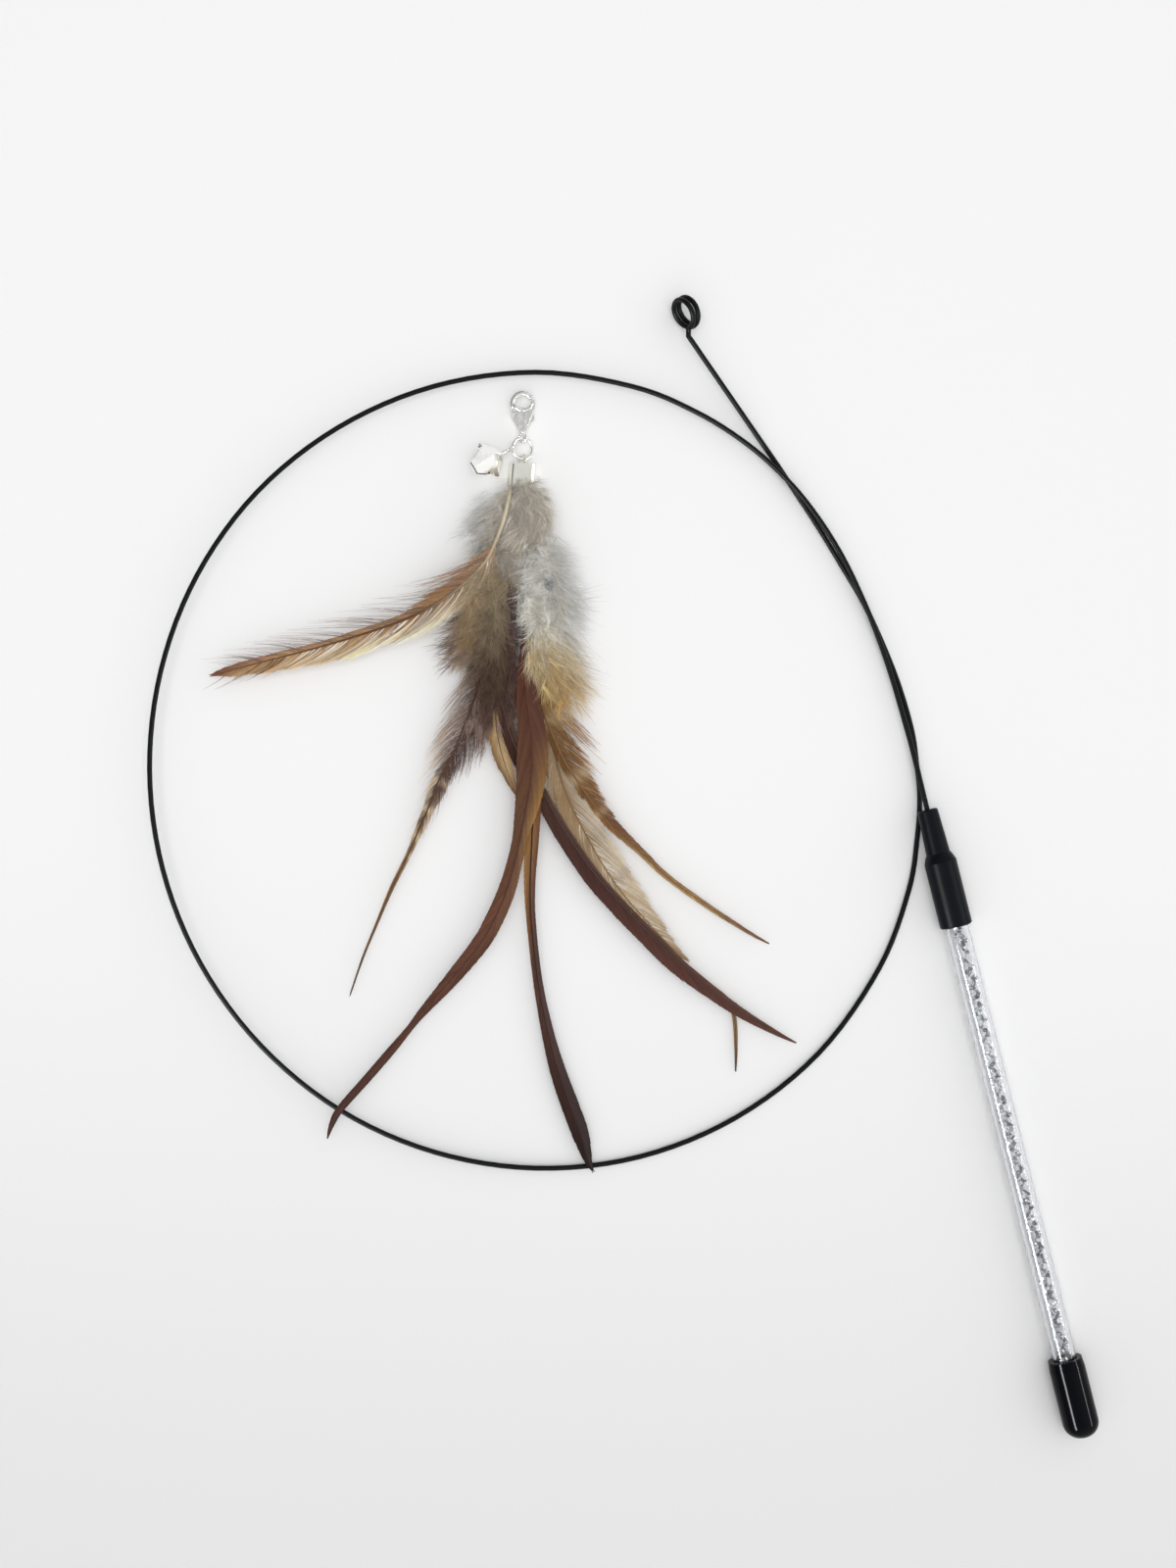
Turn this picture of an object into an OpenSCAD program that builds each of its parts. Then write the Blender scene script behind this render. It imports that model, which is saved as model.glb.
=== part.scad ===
// Cat teaser wand: a clear handle, a coiled spring wire with a wound eye,
// and a feather lure on a lobster clasp. It lies on the floor plane z = 0.

/* [Wire] */
// Radius of the loop that the wire is coiled into
loop_r = 106; // [95:1:120]
// Outer diameter of the coated wire
wire_d = 1.4; // [1:0.1:1.8]
// Height that the far side of the loop springs up
loop_rise = 7.5; // [4:0.5:10]
// Least air between two passes of the wire
wire_gap = 0.5; // [0.45:0.05:0.9]
// Centreline radius of the eye at the wire's tip
eye_r = 4; // [3:0.1:5]

/* [Handle] */
// Length of the whole handle, from the sleeve's mouth to the cap's tip
handle_l = 173.3; // [140:1:220]
// Outer diameter of the clear tube
tube_d = 6.4; // [5.6:0.1:7]
// Wall of the clear tube
tube_wall = 0.9; // [0.6:0.1:1.1]
// Outer diameter of the end cap
cap_d = 9.7; // [9:0.1:12]
// Length of the end cap
cap_l = 21.5; // [16:0.5:28]
// Solid end of the cap beyond the tube
cap_end = 3; // [2:0.1:5]
// Length of the ferrule sleeve
sleeve_l = 32.2; // [28:0.5:40]
// Outer diameter of the sleeve over the tube
sleeve_d = 8.7; // [8.2:0.1:9.6]
// Outer diameter of the sleeve's narrow mouth
sleeve_mouth_d = 5.5; // [5:0.1:6]
// Length of the sleeve's narrow part
sleeve_neck_l = 12; // [8:0.5:14]
// Width across the tinsel zigzag
tinsel_w = 2.4; // [1.5:0.1:3]
// Length of one tinsel zigzag
tinsel_pitch = 3.1; // [2:0.1:5]

/* [Clasp] */
// Centreline radius of the clasp's hook
hook_r = 2.75; // [2.6:0.05:3]
// Thickness of the hook's bow
hook_t = 1.5; // [1.3:0.05:1.6]
// From the rivet to the hook's centre
hook_y = 5.4; // [5.3:0.05:5.6]
// From the rivet to the clasp's eye
clasp_eye_y = 3.85; // [3.7:0.05:4.2]
// Thickness of the clasp's body
clasp_t = 2.4; // [2.2:0.05:2.8]
// Thickness of the lever plate
lever_t = 0.9; // [0.7:0.05:1]
// Diameter of the clasp's rivet
rivet_d = 0.8; // [0.6:0.05:0.9]
// Outer diameter of the clasp's spring
spring_d = 0.95; // [0.8:0.05:1]
// Wire of the clasp's spring
spring_wire_d = 0.14; // [0.1:0.01:0.16]

/* [Ring and crimp] */
// Centreline radius of the jump ring
ring_r = 2.85; // [2.7:0.05:3.2]
// Wire of the jump ring
ring_wire_d = 0.76; // [0.6:0.02:0.8]
// Centreline radius of the small eyes on clasp and crimp
link_eye_r = 1.15; // [1.1:0.01:1.25]
// Wire of the small eyes
link_eye_d = 0.54; // [0.45:0.01:0.56]
// Width of the crimp
crimp_w = 7; // [6.8:0.1:8]
// Length of the crimp's folded body
crimp_l = 6.2; // [5.5:0.1:8]
// Height of the crimp
crimp_h = 3.2; // [3.1:0.1:4]
// Sheet thickness of the crimp
crimp_wall = 0.4; // [0.3:0.02:0.45]

/* [Bell] */
// Width of the bell over the corners of its square girdle
bell_d = 10.4; // [9.8:0.1:10.6]
// From the girdle to the bell's foot
bell_foot_l = 5; // [4.6:0.1:5.4]
// From the girdle to the bell's shoulder
bell_shoulder_l = 3.2; // [3:0.1:3.4]
// Wall of the bell
bell_wall = 0.5; // [0.4:0.05:0.55]
// Width of the sound slot
bell_slot = 0.9; // [0.6:0.1:1.2]
// Diameter of the holes that end the slot
bell_hole_d = 1.8; // [1.4:0.1:2]
// From the girdle to the middle of those holes
bell_hole_drop = 1.9; // [1.6:0.1:2.2]
// Diameter of the ball in the bell
clapper_d = 2.8; // [2.4:0.1:2.9]
// From the girdle's middle to the ring that the bell hangs on
bell_link_l = 7.4; // [7.3:0.1:8]
// Centreline radius of the bell's loop
bell_loop_r = 1.5; // [1.4:0.05:1.6]
// Wire of the bell's loop
bell_loop_d = 0.6; // [0.5:0.02:0.64]

/* [Feathers] */
// Reach of the gold feather from the crimp
gold_l = 95.4; // [85:1:105]
// Reach of the barred feather
barred_l = 145.7; // [130:1:155]
// Reach of the curled feather
curl_l = 183.5; // [165:1:195]
// Reach of the straight feather
straight_l = 185.8; // [165:1:195]
// Reach of the sweeping feather
sweep_l = 167.7; // [150:1:180]
// Reach of the cream feather
cream_l = 136; // [120:1:145]
// Reach of the amber feather
amber_l = 140.8; // [125:1:150]
// Reach of the short feather
short_l = 83.7; // [76:1:92]
// Reach of the hidden feather
hidden_l = 168.9; // [150:1:180]
// Widest vane of the broad feathers
broad_w = 8.6; // [6:0.1:9]
// Widest vane of the narrow feathers
narrow_w = 4.7; // [3:0.1:5.2]
// Diameter of a quill
quill_d = 0.9; // [0.7:0.05:1]
// Air between quills in the crimp
quill_air = 0.2; // [0.15:0.01:0.25]
// Thickness of a vane
vane_t = 0.5; // [0.3:0.05:0.55]
// Height of the feather pile
pile_h = 8; // [7.8:0.1:9]

/* [Down] */
// Width of the down
down_w = 36; // [30:1:42]
// Length of the down
down_l = 64; // [58:1:70]
// Height of the upper tufts over the quills
down_h = 6.4; // [4:0.2:8]

/* [Hidden] */

// Curve smoothness and the overrun of cuts
$fn = 48;
cut = 1;
// Sliding and glued fits
fit = 0.05;
// Air between pieces that lie beside each other
air = 0.3;

// Where the handle meets the loop, and how the handle lies
mouth_angle = -5.77;
mouth_share = 0.996;
handle_angle = -75.94;
cap_r = cap_d / 2;
tube_r = tube_d / 2;
bore_r = tube_r - tube_wall;
axis_z = cap_r;

function polar(a, r) = [r * cos(a), r * sin(a)];
function flat(v) = [v[0], v[1]];
function lift(v, z) = [v[0], v[1], z];
function turn(a, v) = [v[0] * cos(a) - v[1] * sin(a), v[0] * sin(a) + v[1] * cos(a)];

mouth = lift(polar(mouth_angle, mouth_share * loop_r), axis_z);
handle_dir = lift(polar(handle_angle, 1), 0);

// A curve through the control rows, which may carry widths beside the places
function row(p, i) = p[max(0, min(len(p) - 1, i))];
function blend_row(a, b, c, d, t) =
    0.5 * (2 * b + (c - a) * t + (2 * a - 5 * b + 4 * c - d) * t * t
    + (3 * b - a - 3 * c + d) * t * t * t);
function spline(p, steps) = [
    for (i = [0 : len(p) - 2])
        for (k = [0 : steps - 1])
            blend_row(row(p, i - 1), row(p, i), row(p, i + 1), row(p, i + 2), k / steps),
    p[len(p) - 1]
];

function place(r) = [r[0], r[1], r[2]];
function unit(v) = v / norm(v);
function heading(p, i) = unit(place(row(p, i + 1)) - place(row(p, i - 1)));
function beside(t) = unit(cross(t, [0, 0, 1]));

// A closed tube along rows of [x, y, z, width, thickness]
module sweep(p, sides) {
    rings = len(p);
    points = [
        for (i = [0 : rings - 1])
            let (t = heading(p, i), s = beside(t), u = cross(s, t))
                for (k = [0 : sides - 1])
                    let (a = 360 * (k + 0.5) / sides, c = 1 / cos(180 / sides))
                        place(p[i]) + s * (c * cos(a) * p[i][3] / 2) + u * (c * sin(a) * p[i][4] / 2)
    ];
    ends = [
        [for (k = [sides - 1 : -1 : 0]) k],
        [for (k = [0 : sides - 1]) (rings - 1) * sides + k]
    ];
    walls = [
        for (i = [0 : rings - 2])
            for (k = [0 : sides - 1])
                let (n = (k + 1) % sides, a = i * sides, b = a + sides)
                    each [[a + k, a + n, b + n], [a + k, b + n, b + k]]
    ];
    polyhedron(points, concat(ends, walls));
}

// The wire: angle round the loop, then shares of the loop's radius and rise,
// and how many passes of the wire lie below
wire_sides = 8;
wire_steps = 3;
wire_route_shares = [
    [2, 0.96, 0.18, 1], [8, 0.943, 0.08, 1], [15, 0.934, 0.02, 1], [22, 0.933, 0, 1],
    [28, 0.9375, 0, 1], [35, 0.949, 0, 1], [42, 0.962, 0, 1], [49, 0.975, 0, 1],
    [57, 0.987, 0, 1], [66, 0.9965, 0.03, 1], [76, 1.004, 0.08, 1], [90, 1.01, 0.3, 0],
    [105, 1.0065, 0.42, 0], [120, 1.0005, 0.56, 0], [135, 0.994, 0.7, 0], [150, 0.9845, 0.84, 0],
    [165, 0.9755, 0.95, 0], [180, 0.9705, 1, 0], [195, 0.9705, 0.97, 0], [210, 0.975, 0.85, 0],
    [225, 0.983, 0.65, 0], [240, 0.994, 0.42, 0], [255, 1.004, 0.2, 0], [270, 1.013, 0.06, 0],
    [285, 1.0195, 0, 0], [300, 1.021, 0, 0], [315, 1.019, 0, 0], [330, 1.0095, 0, 0],
    [342, 0.998, 0, 0], [350, 0.9865, 0, 0], [356, 0.98, 0, 0], [361, 0.97, 0, 0],
    [366, 0.963, 0, 0], [373, 0.9495, 0, 0], [380, 0.94, 0, 0], [387, 0.937, 0, 0],
    [394, 0.9375, 0, 0], [401, 0.95, 0, 0], [407, 0.969, 0, 0], [412, 0.993, 0.01, 0]
];
// The faceted wire's corners touch the floor
wire_rest = 0.56 * wire_d;
function wire_point(w) =
    lift(polar(w[0], w[1] * loop_r), wire_rest + w[2] * loop_rise + w[3] * (wire_d + wire_gap));

// The wound eye at the tip, leaning toward the lower left
eye_place_share = [0.3812, 1.157];
eye_centre = lift(eye_place_share * loop_r, wire_rest + eye_r + air / 2);
eye_axis = [-0.711, -0.462, 0.53];
eye_side = [0.545, -0.838, 0];
eye_up = cross(unit(eye_axis), unit(eye_side));
eye_turns = 1.9;
eye_start = -10;
eye_rings = 24;
eye_pitch = wire_d + wire_gap;
function eye_point(a) =
    eye_centre + eye_r * (unit(eye_side) * cos(a) + eye_up * sin(a))
    - unit(eye_axis) * eye_pitch * ((a - eye_start) / 360 - eye_turns / 2);
eye_points = [
    for (k = [0 : round(eye_turns * eye_rings)]) eye_point(eye_start + k * 360 / eye_rings)
];
neck = eye_points[0] + [0, -0.48 * eye_r, -0.05 * eye_r];
tail_start = wire_point(wire_route_shares[len(wire_route_shares) - 1]);

// The anchor, and how far the wire reaches into it
anchor_l = 12;
wire_hole_gap = 0.12;
anchor_head_r = bore_r - fit;
wire_in = sleeve_neck_l + anchor_l / 2;
wire_controls = concat(
    [mouth + handle_dir * wire_in, mouth + handle_dir * wire_in / 2, mouth],
    [for (w = wire_route_shares) wire_point(w)],
    [for (k = [1 : 5]) tail_start + (neck - tail_start) * k / 6],
    [neck]
);
wire_points = concat(spline(wire_controls, wire_steps), eye_points);
wire_rows = [for (p = wire_points) concat(p, [wire_d, wire_d])];

// Least distance between the eye's turns, and between the wire's two passes
eye_gap = min([
    for (i = [0 : len(eye_points) - 1])
        for (j = [0 : len(eye_points) - 1])
            if (abs(i - j) > eye_rings / 2) norm(eye_points[i] - eye_points[j])
]) - wire_d;
echo(eye_gap = eye_gap);
pass_skip = 40;
pass_gap = min([
    for (i = [0 : len(wire_points) - 1])
        for (j = [i + pass_skip : 1 : len(wire_points) - 1])
            norm(wire_points[i] - wire_points[j])
]) - wire_d;
echo(pass_gap = pass_gap);

// The cap's outline: a straight skirt and a round end, as radius and distance from its mouth
cap_round = cap_r * 0.86;
cap_flat_r = cap_r - cap_round;
cap_steps = 10;
cap_profile = concat(
    [[cap_r * 0.94, 0], [cap_r, cap_l * 0.12], [cap_r, cap_l - cap_round]],
    [for (k = [1 : cap_steps])
        let (a = 90 * k / cap_steps)
            [cap_flat_r + cap_round * cos(a), cap_l - cap_round + cap_round * sin(a)]]
);
cap_mouth = handle_l - cap_l;
anchor_head_l = 4;
tube_start = sleeve_neck_l + anchor_head_l;
tube_end = handle_l - cap_end;

// The origin: the middle of the whole object's plan
across_dir = lift(polar(handle_angle + 90, 1), 0);
cap_edge = [
    for (q = cap_profile) for (s = [-1, 1])
        mouth + handle_dir * (cap_mouth + q[1]) + across_dir * q[0] * s
];
plan_points = concat(
    [for (p = wire_points) flat(p) + [wire_d, wire_d] / 2],
    [for (p = wire_points) flat(p) - [wire_d, wire_d] / 2],
    [for (p = cap_edge) flat(p)]
);
plan_x = [for (p = plan_points) p[0]];
plan_y = [for (p = plan_points) p[1]];
origin = [(max(plan_x) + min(plan_x)) / 2, (max(plan_y) + min(plan_y)) / 2];

module on_floor() {
    translate([-origin[0], -origin[1], 0]) children();
}

// The handle's own axis runs along +z from the sleeve's mouth
module on_handle() {
    on_floor() translate(mouth) rotate([0, 0, handle_angle]) rotate([0, 90, 0]) children();
}

module pipe(r_out, r_in, l) {
    difference() {
        cylinder(r = r_out, h = l);
        translate([0, 0, -cut]) cylinder(r = r_in, h = l + 2 * cut);
    }
}

module end_cap() {
    color("black") on_handle() translate([0, 0, cap_mouth]) difference() {
        rotate_extrude() polygon(concat([[0, 0]], cap_profile));
        translate([0, 0, -cut]) cylinder(r = tube_r + fit, h = cap_l - cap_end + fit + cut);
    }
}

module grip_tube() {
    color([0.9, 0.93, 0.96, 0.4]) on_handle() translate([0, 0, tube_start])
        pipe(tube_r, bore_r, tube_end - tube_start);
}

// The sleeve's outline as radius and distance from its mouth
module ferrule_sleeve() {
    mouth_r = sleeve_mouth_d / 2;
    neck_r = mouth_r * 1.17;
    body_r = sleeve_d / 2;
    shoulder = sleeve_neck_l + (body_r - neck_r) * 2.2;
    edge = (body_r - tube_r) / 3;
    color([0.05, 0.05, 0.06]) on_handle() difference() {
        rotate_extrude() polygon([
            [0, 0], [mouth_r - edge, 0], [mouth_r, edge], [neck_r, sleeve_neck_l],
            [(neck_r * 2 + body_r) / 3, sleeve_neck_l + (shoulder - sleeve_neck_l) * 0.25],
            [(neck_r + body_r * 2) / 3, sleeve_neck_l + (shoulder - sleeve_neck_l) * 0.6],
            [body_r, shoulder], [body_r, sleeve_l - edge], [body_r - edge, sleeve_l], [0, sleeve_l]
        ]);
        translate([0, 0, -cut]) cylinder(r = wire_d / 2 + wire_hole_gap, h = sleeve_neck_l + 2 * cut);
        translate([0, 0, tube_start - fit]) cylinder(r = tube_r + fit, h = sleeve_l);
        translate([0, 0, sleeve_neck_l - fit]) cylinder(r = anchor_head_r + fit, h = sleeve_l);
    }
}

// The anchor's head fills the sleeve's shoulder, and its plug fills the tube
module wire_anchor() {
    color([0.2, 0.2, 0.2]) on_handle() translate([0, 0, sleeve_neck_l])
        pipe(anchor_head_r, wire_d / 2 + wire_hole_gap, anchor_l);
}

// A foil strip folded to and fro along the tube
module tinsel_ribbon() {
    start = sleeve_neck_l + anchor_l + air;
    l = tube_end - start - air;
    turns = floor(l / tinsel_pitch);
    strip = tinsel_pitch * 0.34;
    foil_t = bore_r * 0.08;
    left = [for (k = [0 : 2 * turns]) [(k % 2 - 0.5) * (tinsel_w - strip), k * tinsel_pitch / 2]];
    right = [for (k = [2 * turns : -1 : 0]) left[k] + [strip, 0]];
    color("silver") on_handle() translate([0, 0, start])
        rotate([0, 0, 90]) rotate([90, 0, 0])
            translate([-strip / 2, 0, -foil_t / 2]) linear_extrude(foil_t) polygon(concat(left, right));
}

module wand_wire() {
    color([0.08, 0.08, 0.09]) on_floor() sweep(wire_rows, wire_sides);
}

// The lure hangs together on the crimp's eye, in the crimp's mid height. It lies with
// its longest feathers over the loop's foot, and its clasp stays inside the loop's top.
lure_side_share = -0.034;
lure_rise = 189.9;
lure_top_air = 1.5;
clasp_top = 2 * ring_r + clasp_eye_y + hook_y + hook_r + hook_t / 2;
link_y = min(lure_rise - loop_r, loop_r - wire_d / 2 - lure_top_air - clasp_top);
link = [lure_side_share * loop_r, link_y, crimp_h / 2];
ring_roll = 22;
link_roll = 55;
ring_centre = link + [0, ring_r, 0];
clasp_eye = link + [0, 2 * ring_r, 0];
bell_link = ring_centre + ring_r * [-cos(ring_roll), 0, sin(ring_roll)];

// Where the joints and mounts lie from the origin
base = lift(origin, 0);
echo(link = link - base, clasp_eye = clasp_eye - base, bell_link = bell_link - base);
echo(ring_axis = [cos(ring_roll), 0, -sin(ring_roll)], rivet = clasp_eye + [0, clasp_eye_y, 0] - base);
echo(hook = clasp_eye + [0, clasp_eye_y + hook_y, 0] - base, eye = eye_centre - base);
echo(cap_middle = mouth + handle_dir * (cap_mouth + (cap_l * 1.12 - cap_round) / 2) - base);
echo(handle_dir = handle_dir, loop_centre = -base);

module torus(r, d, from = 0, angle = 360) {
    rotate([0, 0, from]) rotate_extrude(angle = angle) translate([r, 0]) circle(d = d, $fn = 24);
}

// An eye whose hole looks along x, rolled about y
module link_eye() {
    rotate([0, link_roll, 0]) rotate([0, 90, 0]) torus(link_eye_r, link_eye_d);
}

ring_split = 6;
ring_split_middle = -35;
module jump_ring() {
    color("silver") on_floor() translate(ring_centre) rotate([0, ring_roll, 0])
        torus(ring_r, ring_wire_d, ring_split_middle + ring_split / 2, 360 - ring_split);
}

module on_clasp() {
    on_floor() translate(clasp_eye + [0, clasp_eye_y, 0]) children();
}

// The lever turns inside this circle, and the hook ends outside it
lever_reach = hook_y * 1.22;
rivet_gap = 0.04;
slot_t = lever_t + 0.2;
spine_x = 1.25;
lever_left = 0.45;
body_top = hook_y - hook_r + hook_t / 4;
module clasp_body() {
    w = hook_r;
    color("silver") on_clasp() difference() {
        union() {
            translate([0, hook_y, 0]) torus(hook_r, hook_t, -10, 300);
            translate([0, 0, -clasp_t / 2]) linear_extrude(clasp_t) polygon([
                [-w * 0.98, body_top], [w * 0.8, body_top], [w * 0.9, body_top * 0.75],
                [w * 0.36, -w * 0.6], [w * 0.22, -w * 0.85], [-w * 0.22, -w * 0.85],
                [-w * 0.36, -w * 0.6], [-w * 1.08, body_top * 0.75]
            ]);
            translate([0, -w * 0.7, 0]) rotate([90, 0, 0])
                cylinder(d = link_eye_d * 1.8, h = clasp_eye_y - link_eye_r - w * 0.7 + link_eye_d / 4);
            translate([0, -clasp_eye_y, 0]) link_eye();
        }
        translate([-spine_x, -spine_x, -slot_t / 2])
            cube([3 * hook_r, hook_y - hook_r + hook_t / 2 + 2 * air + spine_x, slot_t]);
        intersection() {
            translate([0, 0, -clasp_t]) cylinder(r = lever_reach + air / 2, h = 2 * clasp_t);
            translate([hook_r * 0.3, body_top, -clasp_t]) cube([2 * hook_r, 2 * hook_r, 2 * clasp_t]);
        }
        translate([0, 0, -clasp_t]) cylinder(d = rivet_d + 2 * rivet_gap, h = 2 * clasp_t);
    }
}

module clasp_lever() {
    band = hook_t * 0.72;
    boss_r = spine_x * 0.84;
    color([0.8, 0.8, 0.8]) on_clasp() translate([0, 0, -lever_t / 2]) difference() {
        intersection() {
            union() {
                translate([0, hook_y, 0]) rotate([0, 0, -62]) rotate_extrude(angle = 100)
                    translate([hook_r - band / 2, 0]) square([band, lever_t]);
                cylinder(r = boss_r, h = lever_t);
                linear_extrude(lever_t) polygon([
                    [-boss_r * 0.3, boss_r * 0.9], [boss_r * 0.75, -boss_r * 0.7],
                    [hook_r * 1.12, hook_r * 0.35], [hook_r * 1.16, hook_r * 0.62],
                    [hook_r * 0.86, hook_r * 1.2], [lever_left, hook_y - hook_r + hook_t * 0.4],
                    [lever_left, boss_r]
                ]);
            }
            cylinder(r = lever_reach, h = lever_t);
        }
        translate([0, 0, -cut]) cylinder(d = rivet_d + 2 * rivet_gap, h = lever_t + 2 * cut);
    }
}

module clasp_pin() {
    head_t = rivet_d / 5;
    color("silver") on_clasp() translate([0, 0, -clasp_t / 2]) {
        translate([0, 0, -head_t]) cylinder(d = rivet_d, h = clasp_t + 2 * head_t);
        translate([0, 0, -head_t - fit]) cylinder(d = rivet_d * 1.7, h = head_t);
        translate([0, 0, clasp_t + fit]) cylinder(d = rivet_d * 1.7, h = head_t);
    }
}

// The spring pushes the lever away from the clasp's spine
spring_turns = 2.5;
spring_steps = 8;
spring_l = spine_x + lever_left - 2 * fit - spring_wire_d;
spring_y = hook_r * 0.62;
spring_points = [
    for (k = [0 : spring_turns * spring_steps])
        let (a = 360 * k / spring_steps, r = (spring_d - spring_wire_d) / 2)
            [-spine_x + fit + spring_wire_d / 2 + spring_l * k / spring_turns / spring_steps,
            spring_y + r * cos(a), r * sin(a)]
];
spring_gap = spring_l / spring_turns - spring_wire_d;
echo(spring_gap = spring_gap);
module clasp_spring() {
    color("gray") on_clasp()
        sweep([for (p = spring_points) concat(p, [spring_wire_d, spring_wire_d])], 6);
}

// The bell lies on a corner of its girdle and points its loop at the ring
bell_r = bell_d / 2;
bell_azimuth = 30;
bell_tilt = 90 + acos(bell_link[2] / norm([bell_r, bell_link_l])) - atan2(bell_link_l, bell_r);
bell_dir = lift(polar(bell_azimuth, sin(bell_tilt)), cos(bell_tilt));
bell_centre = bell_link - bell_dir * bell_link_l;
module on_bell() {
    on_floor() translate(bell_centre) rotate([0, bell_tilt, bell_azimuth]) children();
}

// The loop's centre, set back so that the ring lies near the loop's far end
loop_air = 0.2;
loop_back = bell_loop_r - bell_loop_d / 2 - ring_wire_d / 2 - loop_air;
loop_z = bell_link_l - loop_back;
stem_r = bell_loop_d * 0.9;

// A square cone on each side of the girdle, set in from the outside by a wall
corner = sqrt(2);
foot_share = 0.42;
shoulder_share = 0.39;
module bell_form(wall) {
    cylinder(
        r1 = bell_r - corner * wall, r2 = bell_r * shoulder_share - corner * wall,
        h = bell_shoulder_l - wall, $fn = 4
    );
    translate([0, 0, wall - bell_foot_l]) cylinder(
        r1 = bell_r * foot_share - corner * wall, r2 = bell_r - corner * wall,
        h = bell_foot_l - wall, $fn = 4
    );
}

module bell_shell() {
    color("silver") on_bell() difference() {
        bell_form(0);
        bell_form(bell_wall);
        translate([-bell_slot / 2, -bell_d, -bell_d])
            cube([bell_slot, 2 * bell_d, bell_d - bell_hole_drop]);
        rotate([90, 0, 0]) translate([0, -bell_hole_drop, -bell_d])
            cylinder(d = bell_hole_d, h = 2 * bell_d);
        cylinder(r = stem_r + fit, h = bell_d);
    }
}

bell_roof = bell_shoulder_l - bell_wall;
module bell_loop() {
    color("silver") on_bell() {
        translate([0, 0, loop_z]) rotate([90, 0, 0]) torus(bell_loop_r, bell_loop_d);
        translate([0, 0, bell_roof - bell_wall])
            cylinder(r = stem_r, h = loop_z - bell_loop_r - bell_roof + bell_wall);
        translate([0, 0, bell_roof - 1.6 * bell_wall]) cylinder(r = stem_r * 1.6, h = bell_wall * 0.7);
    }
}

// The ball lies between the two lower faces of the bell
clapper_drop = ((bell_r - corner * bell_wall) / corner - clapper_d / 2) * 0.7;
module bell_clapper() {
    color("gray") on_floor() translate(bell_centre - [0, 0, clapper_drop]) sphere(d = clapper_d);
}

// The crimp leans a little about its own eye
crimp_lean = -5;
crimp_top = link_eye_r + link_eye_d / 4 - fit;
module on_crimp() {
    on_floor() translate(link) rotate([0, 0, crimp_lean]) children();
}

module crimp_clamp() {
    w = crimp_w / 2;
    h = crimp_h / 2;
    seam = crimp_wall;
    color([0.8, 0.79, 0.74]) on_crimp() {
        link_eye();
        translate([0, -crimp_top, 0]) rotate([90, 0, 0]) linear_extrude(crimp_l) difference() {
            polygon([[-w, -h], [w, -h], [w, h * 0.7], [w * 0.8, h], [-w * 0.8, h], [-w, h * 0.7]]);
            square([crimp_w - 2 * crimp_wall, crimp_h - 2 * crimp_wall], center = true);
            translate([-w * 0.7, 0]) square([seam, crimp_h]);
        }
        translate([-w, -crimp_top - crimp_wall, -h]) cube([crimp_w, crimp_wall, crimp_h * 0.8]);
    }
}

// Quills lie in two layers in the crimp: column and layer of each one
quill_pitch = quill_d + quill_air;
quill_in = crimp_l * 0.75;
function quill_point(slot, along) =
    let (p = turn(crimp_lean, [slot[0] * quill_pitch, -crimp_top - along]))
        link + lift(p, (slot[1] - 0.5) * quill_pitch);
lure_mouth = link + lift(turn(crimp_lean, [0, -crimp_top - crimp_l]), 0);

// A feather: its reach, its quill's slot, its widest vane and a table of shares:
// across and down by its reach, height by the pile's, width by its own vane
function feather_rows(reach, slot, vane, shares) =
    let (start = [for (d = [crimp_l - quill_in, crimp_l * 1.1])
        concat(quill_point(slot, d), [quill_d, quill_d])],
    rest = [for (s = shares) [
        lure_mouth[0] + s[0] * reach, lure_mouth[1] - s[1] * reach, s[2] * pile_h,
        max(s[3] * vane, s[3] > 0 ? vane_t : quill_d), s[3] > 0 ? vane_t : quill_d
    ]])
    concat(start, rest);

module feather(reach, slot, vane, shares) {
    on_floor() sweep(spline(feather_rows(reach, slot, vane, shares), 2), 6);
}

gold_shares = [
    [-0.033, 0.092, 0.575, 0], [-0.072, 0.175, 0.66, 0], [-0.144, 0.225, 0.66, 0.15],
    [-0.222, 0.292, 0.68, 0.8], [-0.322, 0.369, 0.75, 0.95], [-0.469, 0.428, 0.78, 0.9],
    [-0.669, 0.489, 0.7, 0.7], [-0.872, 0.533, 0.6, 0.06]
];
barred_shares = [
    [-0.0255, 0.091, 0.51, 0], [-0.051, 0.22, 0.51, 0], [-0.073, 0.369, 0.53, 0.7],
    [-0.105, 0.451, 0.6, 1], [-0.153, 0.527, 0.65, 0.74], [-0.165, 0.575, 0.65, 0.47],
    [-0.185, 0.625, 0.65, 0.3], [-0.207, 0.687, 0.62, 0.16], [-0.26, 0.798, 0.5, 0.12],
    [-0.316, 0.949, 0.35, 0.06]
];
curl_shares = [
    [-0.003, 0.072, 0.66, 0], [0.003, 0.149, 0.66, 0], [0.006, 0.2, 0.67, 0],
    [0.009, 0.247, 0.86, 0.25],
    [0.012, 0.308, 1, 0.85], [0.019, 0.368, 1, 1], [0.019, 0.439, 1, 0.95],
    [0.013, 0.503, 1, 0.9], [0.001, 0.54, 0.97, 0.85], [-0.025, 0.605, 0.88, 0.7],
    [-0.056, 0.669, 0.8, 0.7], [-0.097, 0.7225, 0.75, 0.6], [-0.143, 0.7745, 0.72, 0.35],
    [-0.188, 0.829, 0.7, 0.28], [-0.224, 0.871, 0.69, 0.28], [-0.264, 0.917, 0.69, 0.25],
    [-0.283, 0.9595, 0.66, 0.06]
];
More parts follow.
